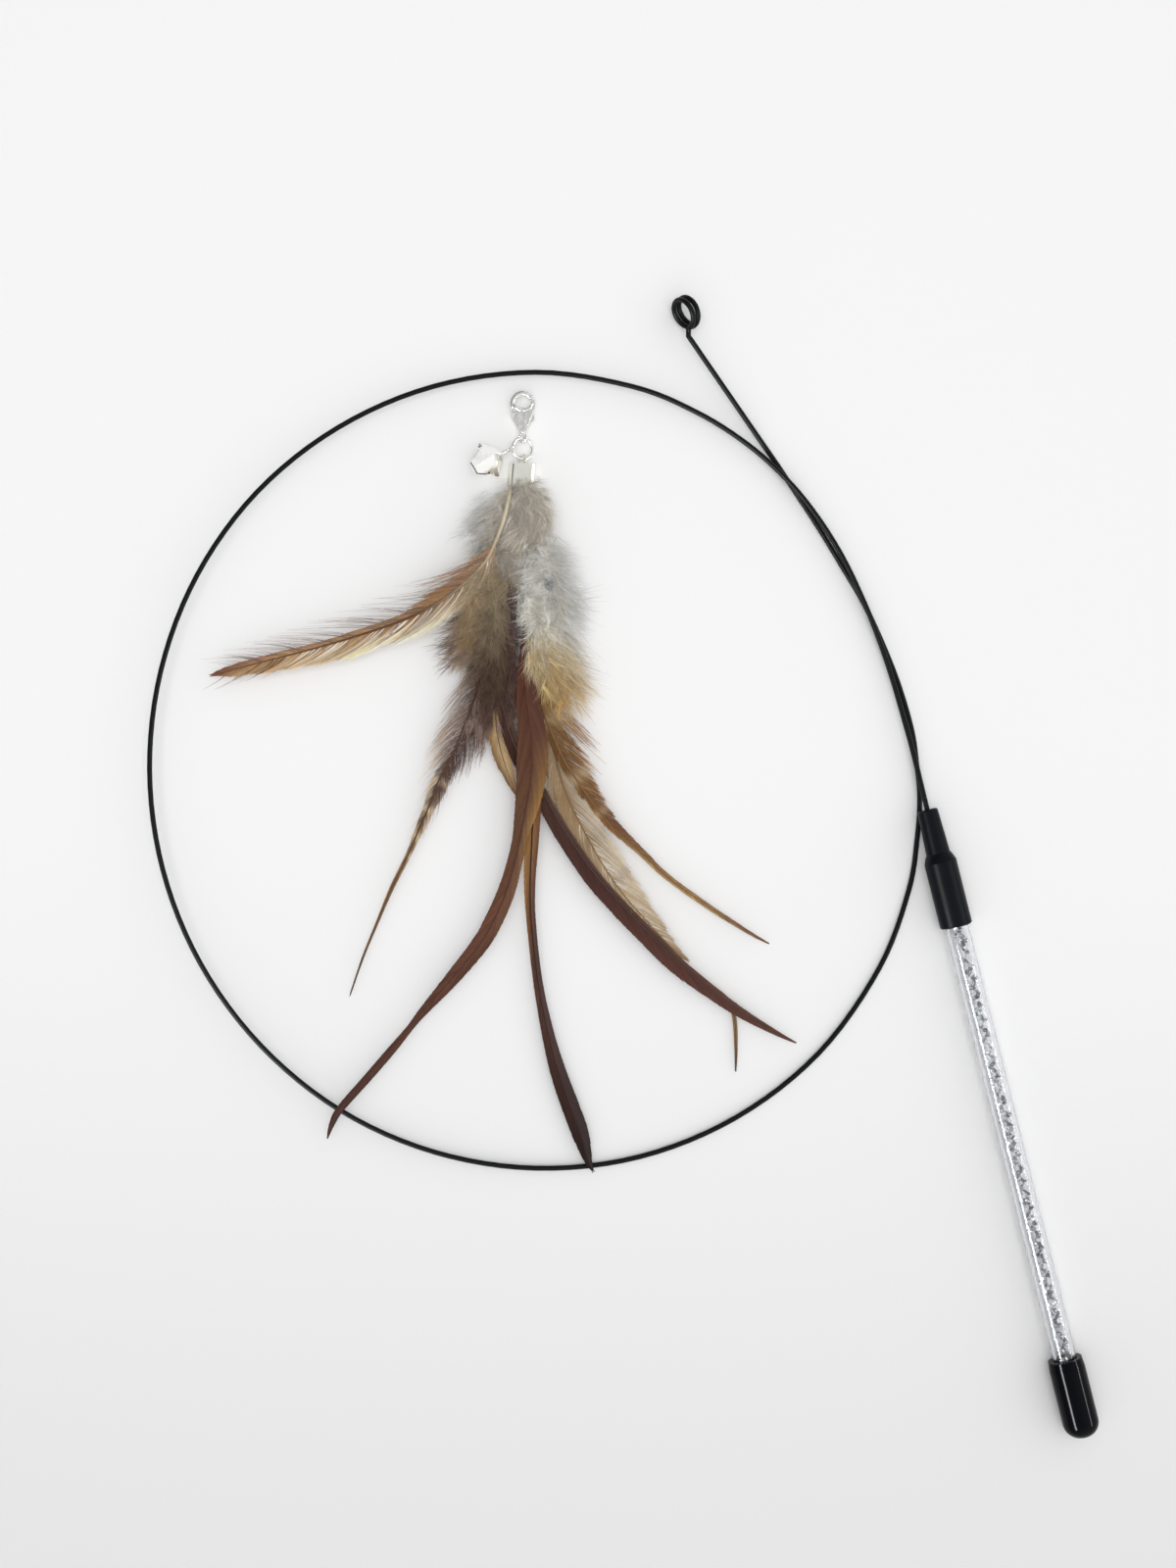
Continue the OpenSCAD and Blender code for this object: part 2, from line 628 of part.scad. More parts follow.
straight_shares = [
    [0.006, 0.071, 0.66, 0], [0.013, 0.147, 0.66, 0], [0.016, 0.225, 0.74, 0.2],
    [0.017, 0.304, 0.78, 0.6], [0.021, 0.432, 0.82, 0.8], [0.0185, 0.5036, 0.82, 0.8],
    [0.016, 0.575, 0.75, 0.55], [0.017, 0.632, 0.64, 0.45], [0.026, 0.7175, 0.52, 0.45],
    [0.04, 0.789, 0.44, 0.7], [0.056, 0.849, 0.4, 0.95], [0.073, 0.8987, 0.37, 1],
    [0.088, 0.9415, 0.36, 0.9], [0.1, 0.98, 0.36, 0.45], [0.1064, 0.994, 0.36, 0.08]
];
sweep_shares = [
    [-0.003, 0.079, 0.51, 0], [-0.0126, 0.194, 0.53, 0], [-0.027, 0.32, 0.6, 0.3],
    [-0.0205, 0.384, 0.6, 0.5], [-0.003, 0.436, 0.6, 0.75], [0.035, 0.5245, 0.6, 0.8],
    [0.06, 0.561, 0.59, 0.9], [0.114, 0.63, 0.57, 0.95], [0.155, 0.678, 0.55, 1],
    [0.19, 0.7156, 0.53, 1], [0.2464, 0.779, 0.49, 0.95], [0.303, 0.818, 0.44, 0.75],
    [0.355, 0.85, 0.39, 0.6], [0.411, 0.878, 0.34, 0.3], [0.444, 0.8957, 0.3, 0.06]
];
cream_shares = [
    [0.0214, 0.0975, 0.51, 0], [0.035, 0.24, 0.51, 0], [0.051, 0.396, 0.57, 0.5],
    [0.066, 0.532, 0.57, 1], [0.107, 0.63, 0.52, 1], [0.16, 0.723, 0.47, 0.95],
    [0.21, 0.795, 0.43, 0.8], [0.273, 0.873, 0.4, 0.45], [0.335, 0.9415, 0.37, 0.06]
];
amber_shares = [
    [0.019, 0.094, 0.66, 0], [0.028, 0.232, 0.66, 0], [0.031, 0.31, 0.655, 0.05],
    [0.0325, 0.36, 0.65, 0.5], [0.036, 0.41, 0.67, 0.95], [0.06, 0.4576, 0.68, 1],
    [0.079, 0.5047, 0.68, 0.75], [0.1, 0.542, 0.68, 0.55], [0.1356, 0.593, 0.67, 0.4],
    [0.173, 0.642, 0.65, 0.35],
    [0.235, 0.7025, 0.6, 0.27], [0.286, 0.7495, 0.56, 0.23], [0.365, 0.806, 0.5, 0.2],
    [0.452, 0.8625, 0.42, 0.17], [0.48, 0.8776, 0.4, 0.05]
];
short_shares = [
    [-0.025, 0.158, 0.51, 0], [-0.06, 0.389, 0.51, 0], [-0.07, 0.642, 0.5, 0.6],
    [-0.079, 0.753, 0.49, 1], [-0.0665, 0.8386, 0.44, 1], [-0.038, 0.927, 0.4, 0.6],
    [-0.006, 1, 0.38, 0.08]
];
hidden_shares = [
    [0.008, 0.0785, 0.51, 0], [0.017, 0.193, 0.51, 0], [0.0236, 0.3187, 0.49, 0.15],
    [0.031, 0.39, 0.475, 0.2], [0.047, 0.491, 0.38, 0.4], [0.11, 0.617, 0.32, 0.5],
    [0.204, 0.7347, 0.28, 0.45], [0.29, 0.8085, 0.24, 0.4], [0.333, 0.8367, 0.22, 0.35],
    [0.345, 0.868, 0.22, 0.2], [0.3463, 0.9388, 0.2, 0.05]
];

module gold_feather() {
    color([0.72, 0.55, 0.36]) feather(gold_l, [-1.5, 1], broad_w, gold_shares);
}
module barred_feather() {
    color([0.45, 0.34, 0.27]) feather(barred_l, [-2, 0], broad_w, barred_shares);
}
module curl_feather() {
    color([0.42, 0.25, 0.19]) feather(curl_l, [-0.5, 1], broad_w, curl_shares);
}
module straight_feather() {
    color([0.45, 0.28, 0.2]) feather(straight_l, [0.5, 1], narrow_w, straight_shares);
}
module sweep_feather() {
    color([0.35, 0.23, 0.2]) feather(sweep_l, [0, 0], narrow_w, sweep_shares);
}
module cream_feather() {
    color([0.8, 0.74, 0.64]) feather(cream_l, [2, 0], broad_w, cream_shares);
}
module amber_feather() {
    color([0.74, 0.57, 0.37]) feather(amber_l, [1.5, 1], broad_w, amber_shares);
}
module short_feather() {
    color([0.7, 0.6, 0.45]) feather(short_l, [-1, 0], narrow_w, short_shares);
}
module hidden_feather() {
    color([0.4, 0.3, 0.24]) feather(hidden_l, [1, 0], narrow_w, hidden_shares);
}

// A tuft of down: a domed pad over an outline of shares of the down's width and length
deck_top = pile_h * 0.66 + quill_d / 2 + air;
deck_bottom = pile_h * 0.51 - quill_d / 2 - air / 2;
module tuft(centre, outline, base, height) {
    sides = len(outline);
    levels = 5;
    ring = [
        for (k = [0 : levels - 1])
            let (a = 90 * k / levels)
                for (i = [0 : sides - 1])
                    let (
                        lump = 1 - 0.05 * (1 - cos(a)) * (i % 2),
                        q = centre + (outline[i] - centre) * cos(a) * lump
                    )
                        [q[0] * down_w, -q[1] * down_l, base + height * sin(a)]
    ];
    points = concat(ring, [[centre[0] * down_w, -centre[1] * down_l, base + height]]);
    top = len(points) - 1;
    walls = [
        for (k = [0 : levels - 2])
            for (i = [0 : sides - 1])
                let (n = (i + 1) % sides, a = k * sides, b = a + sides)
                    each [[a + i, b + i, b + n], [a + i, b + n, a + n]]
    ];
    roof = [
        for (i = [0 : sides - 1])
            [(levels - 1) * sides + i, top, (levels - 1) * sides + (i + 1) % sides]
    ];
    floor_face = [[for (i = [0 : sides - 1]) i]];
    faces = concat(floor_face, walls, roof);
    on_floor() translate([lure_mouth[0], lure_mouth[1], 0])
        polyhedron(points, height > 0 ? faces : [for (f = faces) [for (j = [len(f) - 1 : -1 : 0]) f[j]]]);
}

crown_shares = [
    [-0.11, 0.033], [0.11, 0.025], [0.258, 0.095], [0.324, 0.211], [0.309, 0.323], [0.19, 0.377],
    [0.169, 0.476], [0.11, 0.551], [0.015, 0.559], [-0.037, 0.493], [-0.059, 0.393],
    [-0.22, 0.352], [-0.368, 0.331], [-0.471, 0.261], [-0.442, 0.157], [-0.295, 0.0745]
];
left_shares = [
    [-0.412, 0.393], [-0.295, 0.385], [-0.162, 0.418], [-0.096, 0.489], [-0.081, 0.634],
    [-0.096, 0.8], [-0.133, 0.923], [-0.2, 1.048], [-0.295, 1.014], [-0.368, 0.944],
    [-0.442, 0.84], [-0.5, 0.758], [-0.552, 0.592], [-0.493, 0.468]
];
right_shares = [
    [0.22, 0.4265], [0.331, 0.393], [0.4565, 0.447], [0.53, 0.55], [0.552, 0.675], [0.53, 0.84],
    [0.56, 0.9855], [0.4565, 1.04], [0.353, 0.9855], [0.265, 0.903], [0.2356, 0.758], [0.206, 0.592]
];
under_shares = [
    [-0.22, 0.211], [0, 0.19], [0.22, 0.211], [0.353, 0.344], [0.471, 0.509], [0.5, 0.758],
    [0.515, 0.923], [0.368, 1.014], [0.147, 0.994], [-0.11, 1.014], [-0.295, 0.9855],
    [-0.398, 0.84], [-0.464, 0.634], [-0.405, 0.4265], [-0.324, 0.2816]
];
crown_centre_share = [-0.037, 0.21];
left_centre_share = [-0.295, 0.7];
right_centre_share = [0.38, 0.7];
under_centre_share = [0.015, 0.6];

module down_crown() {
    color([0.62, 0.58, 0.52]) tuft(crown_centre_share, crown_shares, deck_top, down_h * 0.8);
}
module down_left() {
    color([0.5, 0.44, 0.35]) tuft(left_centre_share, left_shares, deck_top, down_h);
}
module down_right() {
    color([0.72, 0.7, 0.65]) tuft(right_centre_share, right_shares, deck_top, down_h);
}
module down_under() {
    color([0.55, 0.5, 0.45]) tuft(under_centre_share, under_shares, deck_bottom, air - deck_bottom);
}

end_cap();
grip_tube();
ferrule_sleeve();
tinsel_ribbon();
wire_anchor();
wand_wire();
clasp_body();
clasp_lever();
clasp_pin();
clasp_spring();
jump_ring();
bell_shell();
bell_loop();
bell_clapper();
crimp_clamp();
gold_feather();
barred_feather();
curl_feather();
straight_feather();
sweep_feather();
cream_feather();
amber_feather();
short_feather();
hidden_feather();
down_crown();
down_left();
down_right();
down_under();
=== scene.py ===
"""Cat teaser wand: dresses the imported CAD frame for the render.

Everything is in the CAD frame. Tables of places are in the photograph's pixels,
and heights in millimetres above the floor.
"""

import math

import bpy
import numpy as np
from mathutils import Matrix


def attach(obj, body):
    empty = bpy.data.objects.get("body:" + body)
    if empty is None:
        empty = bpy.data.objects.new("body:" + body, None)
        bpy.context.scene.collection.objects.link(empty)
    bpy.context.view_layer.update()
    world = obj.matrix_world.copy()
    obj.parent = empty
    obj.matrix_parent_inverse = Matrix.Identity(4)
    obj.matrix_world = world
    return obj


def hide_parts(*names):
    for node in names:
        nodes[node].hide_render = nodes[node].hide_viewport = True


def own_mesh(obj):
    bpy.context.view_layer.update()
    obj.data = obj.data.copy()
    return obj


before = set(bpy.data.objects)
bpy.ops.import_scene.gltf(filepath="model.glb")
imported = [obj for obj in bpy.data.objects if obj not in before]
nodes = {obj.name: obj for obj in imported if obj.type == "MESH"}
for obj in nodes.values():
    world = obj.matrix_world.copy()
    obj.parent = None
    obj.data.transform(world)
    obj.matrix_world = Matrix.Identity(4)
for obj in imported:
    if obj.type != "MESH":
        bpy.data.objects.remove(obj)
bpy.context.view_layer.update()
MM = 0.001

# The camera looks straight down: millimetres a pixel on the floor, and its place
PIXEL = 0.265
CAMERA = (-9.64, 22.13, 600.0)
MIDDLE = (600, 800)
UP = np.array([0.0, 0.0, 1.0])


def at(u, v, z=0.0):
    """The point in millimetres that shows at pixel (u, v) at height z."""
    k = PIXEL * (1 - z / CAMERA[2])
    return [CAMERA[0] + (u - MIDDLE[0]) * k, CAMERA[1] + (MIDDLE[1] - v) * k, z]


def linear(c):
    """8-bit display colour to linear light."""
    c = np.asarray(c, float) / 255
    return np.where(c <= 0.04045, c / 12.92, ((c + 0.055) / 1.055) ** 2.4)


def spline(rows, steps=8):
    """A Catmull-Rom curve through rows of numbers."""
    rows = np.asarray(rows, float)
    last = len(rows) - 1
    out = []
    for i in range(last):
        a, b, c, d = (rows[min(max(j, 0), last)] for j in (i - 1, i, i + 1, i + 2))
        for t in np.arange(steps) / steps:
            square = 2 * a - 5 * b + 4 * c - d
            cube = 3 * b - a - 3 * c + d
            out.append(0.5 * (2 * b + (c - a) * t + square * t**2 + cube * t**3))
    out.append(rows[last])
    return np.array(out)


def unit(v):
    return v / np.maximum(np.linalg.norm(v, axis=-1, keepdims=True), 1e-9)


class Line:
    """A curve of rows [x, y, z, more...] read by distance along it.

    p: its points, s: the distance along it at each, t: the way it heads at each."""

    def __init__(self, rows):
        self.p = spline(rows)
        gap = np.linalg.norm(np.diff(self.p[:, :3], axis=0), axis=1)
        self.s = np.concatenate([[0], np.cumsum(gap)])
        self.length = self.s[-1]
        # A tiny step apart keeps points that coincide from a division by zero
        apart = np.arange(len(self.s)) * 1e-9
        self.t = unit(np.gradient(self.p[:, :3], self.s + apart, axis=0))

    def read(self, s):
        s = np.clip(s, 0, self.length)
        return np.stack([np.interp(s, self.s, self.p[:, k]) for k in range(self.p.shape[1])], -1)

    def heading(self, s):
        s = np.clip(s, 0, self.length)
        return unit(np.stack([np.interp(s, self.s, self.t[:, k]) for k in range(3)], -1))

    def beside(self, s, aside):
        """Points to the right of travel, which run straight on past the curve's end."""
        way = self.heading(s)
        right = unit(np.cross(way, UP))
        over = np.maximum(s - self.length, 0)
        return self.read(s)[..., :3] + right * aside[..., None] + way * over[..., None]


# Meshes

class Parts:
    """Gathers vertices, faces and colours for one mesh."""

    def __init__(self):
        self.verts, self.quads, self.tones, self.count = [], [], [], 0

    def add(self, verts, quads, tones):
        self.verts.append(verts.reshape(-1, 3))
        self.quads.append(quads.reshape(-1, 4) + self.count)
        self.tones.append(np.broadcast_to(tones, verts.shape).reshape(-1, 3))
        self.count += verts.size // 3

    def ribbons(self, path, width, across, tones):
        """path (n, k, 3), width (n, k), across (n, k, 3), tones (n, k, 3)."""
        n, k = path.shape[:2]
        half = across * (width / 2)[..., None]
        verts = np.stack([path - half, path + half], 2)
        i = np.arange(n)[:, None] * k * 2 + np.arange(k - 1)[None] * 2
        quads = np.stack([i, i + 1, i + 3, i + 2], -1)
        self.add(verts, quads, np.repeat(tones[:, :, None], 2, 2))

    def tube(self, path, radius, tones, sides):
        """A closed round tube along path (k, 3)."""
        k = len(path)
        t = unit(np.gradient(path, axis=0))
        side = unit(np.cross(t, UP))
        up = np.cross(side, t)
        a = np.arange(sides) * 2 * math.pi / sides
        ring = side[:, None] * np.cos(a)[None, :, None] + up[:, None] * np.sin(a)[None, :, None]
        verts = path[:, None] + ring * np.broadcast_to(radius, k)[:, None, None]
        i = np.arange(k - 1)[:, None] * sides
        j = np.arange(sides)
        n = (j + 1) % sides
        quads = np.stack([i + j, i + n, i + sides + n, i + sides + j], -1)
        tones = np.broadcast_to(tones, path.shape)
        self.add(verts, quads, np.repeat(tones[:, None], sides, 1))
        # Triangles close each end, as quads that have the middle twice
        middle = np.full(sides, sides)
        for row, fan in ((0, (n, j, middle, middle)), (k - 1, (j, n, middle, middle))):
            ends = np.concatenate([verts[row], path[row][None]])
            self.add(ends, np.stack(fan, -1), np.broadcast_to(tones[row], ends.shape))

    def mesh(self, name, look, smooth=True):
        """The object in metres, with the colours as an attribute called tone."""
        verts = np.concatenate(self.verts) * MM
        quads = np.concatenate(self.quads)
        tones = np.concatenate(self.tones)
        tri = quads[:, 2] == quads[:, 3]
        sizes = np.where(tri, 3, 4)
        loops = quads.ravel()[np.stack([np.ones(len(quads), bool)] * 3 + [~tri], 1).ravel()]
        starts = np.concatenate([[0], np.cumsum(sizes)[:-1]])
        me = bpy.data.meshes.new(name)
        me.vertices.add(len(verts))
        me.vertices.foreach_set("co", verts.ravel())
        me.loops.add(len(loops))
        me.loops.foreach_set("vertex_index", loops.astype(np.int32))
        me.polygons.add(len(quads))
        me.polygons.foreach_set("loop_start", starts.astype(np.int32))
        me.update(calc_edges=True)
        me.polygons.foreach_set("use_smooth", np.full(len(quads), smooth))
        layer = me.color_attributes.new("tone", "FLOAT_COLOR", "POINT")
        full = np.concatenate([np.clip(tones, 0, 1), np.ones((len(tones), 1))], 1)
        layer.data.foreach_set("color", full.ravel())
        me.materials.append(look)
        ob = bpy.data.objects.new(name, me)
        bpy.context.collection.objects.link(ob)
        return ob


# Materials

def material(name, color, rough, metal=0.0, **sockets):
    """A Principled material. Other sockets are named with underscores for spaces."""
    m = bpy.data.materials.new(name)
    m.use_nodes = True
    shader = m.node_tree.nodes["Principled BSDF"]
    if color is not None:
        shader.inputs["Base Color"].default_value = (*linear(color), 1)
    shader.inputs["Roughness"].default_value = rough
    shader.inputs["Metallic"].default_value = metal
    for key, value in sockets.items():
        shader.inputs[key.replace("_", " ")].default_value = value
    return m


def mapped(tree, value, interpolation="LINEAR", **ends):
    """The output of a node that maps a value's range, with ends such as To_Min=0.9."""
    node = tree.nodes.new("ShaderNodeMapRange")
    node.interpolation_type = interpolation
    for key, end in ends.items():
        node.inputs[key.replace("_", " ")].default_value = end
    tree.links.new(value, node.inputs["Value"])
    return node.outputs["Result"]


def times(tree, socket, factor):
    """Multiplies the colour that an input socket has or is given by an output socket."""
    mix = tree.nodes.new("ShaderNodeMix")
    mix.data_type = "RGBA"
    mix.blend_type = "MULTIPLY"
    mix.inputs["Factor"].default_value = 1
    if socket.is_linked:
        tree.links.new(socket.links[0].from_socket, mix.inputs["A"])
    else:
        mix.inputs["A"].default_value = socket.default_value[:]
    tree.links.new(factor, mix.inputs["B"])
    tree.links.new(mix.outputs["Result"], socket)


def grain(m, scale, tone=0.0, rough=0.0, bump=0.0):
    """Noise in the object's own space over colour, roughness and surface."""
    tree = m.node_tree
    new, join = tree.nodes.new, tree.links.new
    shader = tree.nodes["Principled BSDF"]
    noise = new("ShaderNodeTexNoise")
    noise.inputs["Scale"].default_value = scale
    noise.inputs["Detail"].default_value = 3
    join(new("ShaderNodeTexCoord").outputs["Object"], noise.inputs["Vector"])
    level = noise.outputs["Fac"]
    if tone:
        times(tree, shader.inputs["Base Color"], mapped(tree, level, To_Min=1 - tone, To_Max=1 + tone))
    if rough:
        base = shader.inputs["Roughness"].default_value
        spread = mapped(tree, level, To_Min=max(base - rough, 0), To_Max=base + rough)
        join(spread, shader.inputs["Roughness"])
    if bump:
        relief = new("ShaderNodeBump")
        relief.inputs["Strength"].default_value = 0.6
        relief.inputs["Distance"].default_value = bump
        join(level, relief.inputs["Height"])
        join(relief.outputs["Normal"], shader.inputs["Normal"])
    return m


def toned(name, rough, metal=0.0, sheen=0.0, through=0.0):
    """A material that takes its colour from the mesh's own tones.

    through is how much of the light passes, as it does in a thin barb."""
    m = material(name, None, rough, metal, Sheen_Weight=sheen, Specular_IOR_Level=0.16)
    tree = m.node_tree
    new, join = tree.nodes.new, tree.links.new
    shader = tree.nodes["Principled BSDF"]
    tone = new("ShaderNodeAttribute")
    tone.attribute_name = "tone"
    join(tone.outputs["Color"], shader.inputs["Base Color"])
    grain(m, 900, tone=0.14, rough=0.08)
    if through:
        thin = new("ShaderNodeBsdfTranslucent")
        mix = new("ShaderNodeMixShader")
        mix.inputs["Fac"].default_value = through
        join(shader.inputs["Base Color"].links[0].from_socket, thin.inputs["Color"])
        join(shader.outputs["BSDF"], mix.inputs[1])
        join(thin.outputs["BSDF"], mix.inputs[2])
        join(mix.outputs["Shader"], tree.nodes["Material Output"].inputs["Surface"])
    return m


vane_look = toned("vane", rough=0.5, sheen=0.1, through=0.3)
down_look = toned("down", rough=0.8, sheen=0.2, through=0.25)
wire_look = grain(
    material("coated_wire", (8, 10, 13), 0.36, Specular_IOR_Level=0.16), 600, rough=0.08, bump=0.00002,
)
vinyl_look = grain(
    material("black_vinyl", (3, 4, 9), 0.1, Specular_IOR_Level=0.085), 140, rough=0.03, bump=0.00006,
)
sleeve_look = grain(
    material("black_sleeve", (9, 12, 19), 0.36, Specular_IOR_Level=0.1), 260, rough=0.06, bump=0.00006,
)
chrome_look = grain(
    material("bright_metal", (240, 239, 236), 0.1, metal=1), 420, rough=0.05, bump=0.00022,
)
bell_look = grain(
    material("bell_metal", (255, 254, 251), 0.1, metal=1), 260, rough=0.04, bump=0.00012,
)
crimp_look = grain(
    material("crimp_metal", (249, 249, 239), 0.34, metal=1), 300, rough=0.08, bump=0.00016,
)
cast_look = grain(
    material("cast_metal", (243, 242, 239), 0.14, metal=1), 520, rough=0.06, bump=0.0009,
)
steel_look = grain(material("spring_steel", (150, 150, 150), 0.3, metal=1), 900, rough=0.1)
anchor_look = grain(material("anchor_plastic", (30, 30, 32), 0.5), 500, tone=0.1, bump=0.00005)
foil_look = toned("foil", rough=0.24, metal=0.9)
tube_look = grain(
    material(
        "clear_tube", (243, 244, 247), 0.06, Transmission_Weight=1, IOR=1.4,
        Coat_Weight=0.2, Coat_Roughness=0.05,
    ),
    90, rough=0.03, bump=0.00001,
)

# CAD nodes that stay get their look by assigning to their slots
for name, look in {
    "end_cap": vinyl_look, "ferrule_sleeve": sleeve_look, "grip_tube": tube_look,
    "wire_anchor": anchor_look, "clasp_body": cast_look, "clasp_lever": cast_look,
    "clasp_pin": chrome_look, "jump_ring": chrome_look,
    "bell_shell": bell_look, "bell_loop": chrome_look, "bell_clapper": steel_look,
    "crimp_clamp": crimp_look,
}.items():
    if not nodes[name].material_slots:
        nodes[name].data.materials.append(look)
    for slot in nodes[name].material_slots:
        slot.material = look

# Pressed and cast edges are rounded, in millimetres
for name, r in {
    "clasp_body": 0.5, "clasp_lever": 0.2, "crimp_clamp": 0.35, "bell_shell": 0.22,
    "ferrule_sleeve": 0.5,
}.items():
    soften = nodes[name].modifiers.new("soften", "BEVEL")
    soften.width = r * MM
    soften.segments = 3
    soften.limit_method = "ANGLE"
    soften.angle_limit = math.radians(28)
    soften.harden_normals = True


def hang(ob, body, node):
    """Puts a piece on its body, in place of a CAD node where one is named."""
    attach(ob, body)
    if node:
        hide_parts(node)
    return ob


# The wire, on the same route as its solid, in millimetres

LOOP_R, LOOP_RISE, WIRE_D, WIRE_GAP, EYE_R = 106, 7.5, 1.4, 0.5, 4
# Height of the wire's middle where it lies on the floor, and of the handle's axis
WIRE_Z, AXIS_Z = 0.56 * WIRE_D, 4.85
# Length of the wire that goes into the sleeve
INSIDE = 18
# The frame's origin as seen from the loop's middle
ORIGIN = np.array([23.6879, -25.8373, 0])
# Angle round the loop, shares of its radius and of its rise, and 1 where the wire
# lies on its own other end
ROUTE = [
    (2, 0.96, 0.18, 1), (8, 0.943, 0.08, 1), (15, 0.934, 0.02, 1), (22, 0.933, 0, 1),
    (28, 0.9375, 0, 1), (35, 0.949, 0, 1), (42, 0.962, 0, 1), (49, 0.975, 0, 1),
    (57, 0.987, 0, 1), (66, 0.9965, 0.03, 1), (76, 1.004, 0.08, 1), (90, 1.01, 0.3, 0),
    (105, 1.0065, 0.42, 0), (120, 1.0005, 0.56, 0), (135, 0.994, 0.7, 0),
    (150, 0.9845, 0.84, 0), (165, 0.9755, 0.95, 0), (180, 0.9705, 1, 0),
    (195, 0.9705, 0.97, 0), (210, 0.975, 0.85, 0), (225, 0.983, 0.65, 0),
    (240, 0.994, 0.42, 0), (255, 1.004, 0.2, 0), (270, 1.013, 0.06, 0), (285, 1.0195, 0, 0),
    (300, 1.021, 0, 0), (315, 1.019, 0, 0), (330, 1.0095, 0, 0), (342, 0.998, 0, 0),
    (350, 0.9865, 0, 0), (356, 0.98, 0, 0), (361, 0.97, 0, 0), (366, 0.963, 0, 0),
    (373, 0.9495, 0, 0), (380, 0.94, 0, 0), (387, 0.937, 0, 0), (394, 0.9375, 0, 0),
    (401, 0.95, 0, 0), (407, 0.969, 0, 0), (412, 0.993, 0.01, 0),
]


def polar(angle, r):
    return np.array([r * math.cos(math.radians(angle)), r * math.sin(math.radians(angle)), 0])


# The sleeve's mouth, and the way from there down the handle
MOUTH = polar(-5.77, 0.996 * LOOP_R) + UP * AXIS_Z
HANDLE_WAY = polar(-75.94, 1)


def route_point(angle, radius, rise, over):
    z = WIRE_Z + rise * LOOP_RISE + over * (WIRE_D + WIRE_GAP)
    return polar(angle, radius * LOOP_R) + UP * z


def wound_eye():
    """Points of the eye at the wire's tip, which leans on the floor, from its neck on."""
    axis = unit(np.array([-0.711, -0.462, 0.53]))
    side = unit(np.array([0.545, -0.838, 0]))
    up = np.cross(axis, side)
    centre = np.array([0.3812 * LOOP_R, 1.157 * LOOP_R, WIRE_Z + EYE_R + 0.15])
    start, turns, step = -10, 1.9, 10
    points = []
    for a in start + np.arange(0, round(turns * 360 / step) + 1) * step:
        r = math.radians(a)
        points.append(
            centre
            + EYE_R * (side * math.cos(r) + up * math.sin(r))
            - axis * (WIRE_D + WIRE_GAP) * ((a - start) / 360 - turns / 2)
        )
    return points


def wire_route():
    """From inside the sleeve round the loop to the eye's end, in the CAD frame."""
    eye = wound_eye()
    neck = eye[0] + np.array([0, -0.48 * EYE_R, -0.05 * EYE_R])
    tail = route_point(*ROUTE[-1])
    rows = [MOUTH + HANDLE_WAY * INSIDE, MOUTH + HANDLE_WAY * INSIDE / 2, MOUTH]
    rows += [route_point(*row) for row in ROUTE]
    # A straight run in equal pieces leads to the eye's neck
    pieces = 6
    rows += [tail + (neck - tail) * k / pieces for k in range(1, pieces)] + [neck]
    return np.concatenate([spline(rows, 6), eye]) - ORIGIN


route = wire_route()
wire = Parts()
wire.tube(route, WIRE_D / 2, linear((20, 21, 23)), sides=14)
hang(wire.mesh("coated_wire", wire_look), "wand", "wand_wire")


# Cast ridges on the clasp: the foot of its hook ring, and a rim down each cheek

# The ring's middle and radius in pixels, and the heights in millimetres
RING_U, RING_V, RING_R, RING_Z = 533.5, 408.5, 10.4, 2.2
# The clasp's middle line, and a cheek's distance from it with pixel row and height
CHEEK_U = 533
CHEEK = ((10.5, 420, 2.1), (7.5, 428, 2.1), (2.5, 439, 1.9))


def ridge(parts, rows, r):
    """A low ridge through rows of (u, v, height), thinner at both ends."""
    path = spline([at(*row) for row in rows], 6)
    taper = np.interp(np.linspace(0, 1, len(path)), [0, 0.2, 0.8, 1], [0.5, 1, 1, 0.5])
    parts.tube(path, r * taper, 0.9, sides=12)


ridges = Parts()
ridge(
    ridges,
    [
        (RING_U + RING_R * math.cos(a), RING_V + RING_R * math.sin(a), RING_Z)
        for a in np.radians(range(12, 172, 10))
    ],
    0.5,
)
for side in (-1, 1):
    ridge(ridges, [(CHEEK_U + side * off, v, z) for off, v, z in CHEEK], 0.3)
hang(ridges.mesh("clasp_ridges", cast_look), "clasp", None)


# The clasp's spring, which the lever presses flat as it opens

# The lever's pivot, and the coil beside it, which lies along x
PIVOT = np.array([-27.292, 119.287, 1.6])
COIL_START, COIL_LENGTH, COIL_TURNS = -1.13, 1.46, 2.5
COIL_ASIDE, COIL_R, COIL_WIRE_R = 1.705, 0.405, 0.07


def coil():
    turn = np.linspace(0, COIL_TURNS, 61)
    path = PIVOT + np.stack([
        COIL_START + COIL_LENGTH * turn / COIL_TURNS,
        COIL_ASIDE + COIL_R * np.cos(2 * math.pi * turn),
        COIL_R * np.sin(2 * math.pi * turn),
    ], -1)
    parts = Parts()
    parts.tube(path, COIL_WIRE_R, 0.5, sides=8)
    return parts.mesh("clasp_coil", steel_look)


spring = hang(coil(), "clasp", "clasp_spring")
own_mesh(spring)


# Feathers

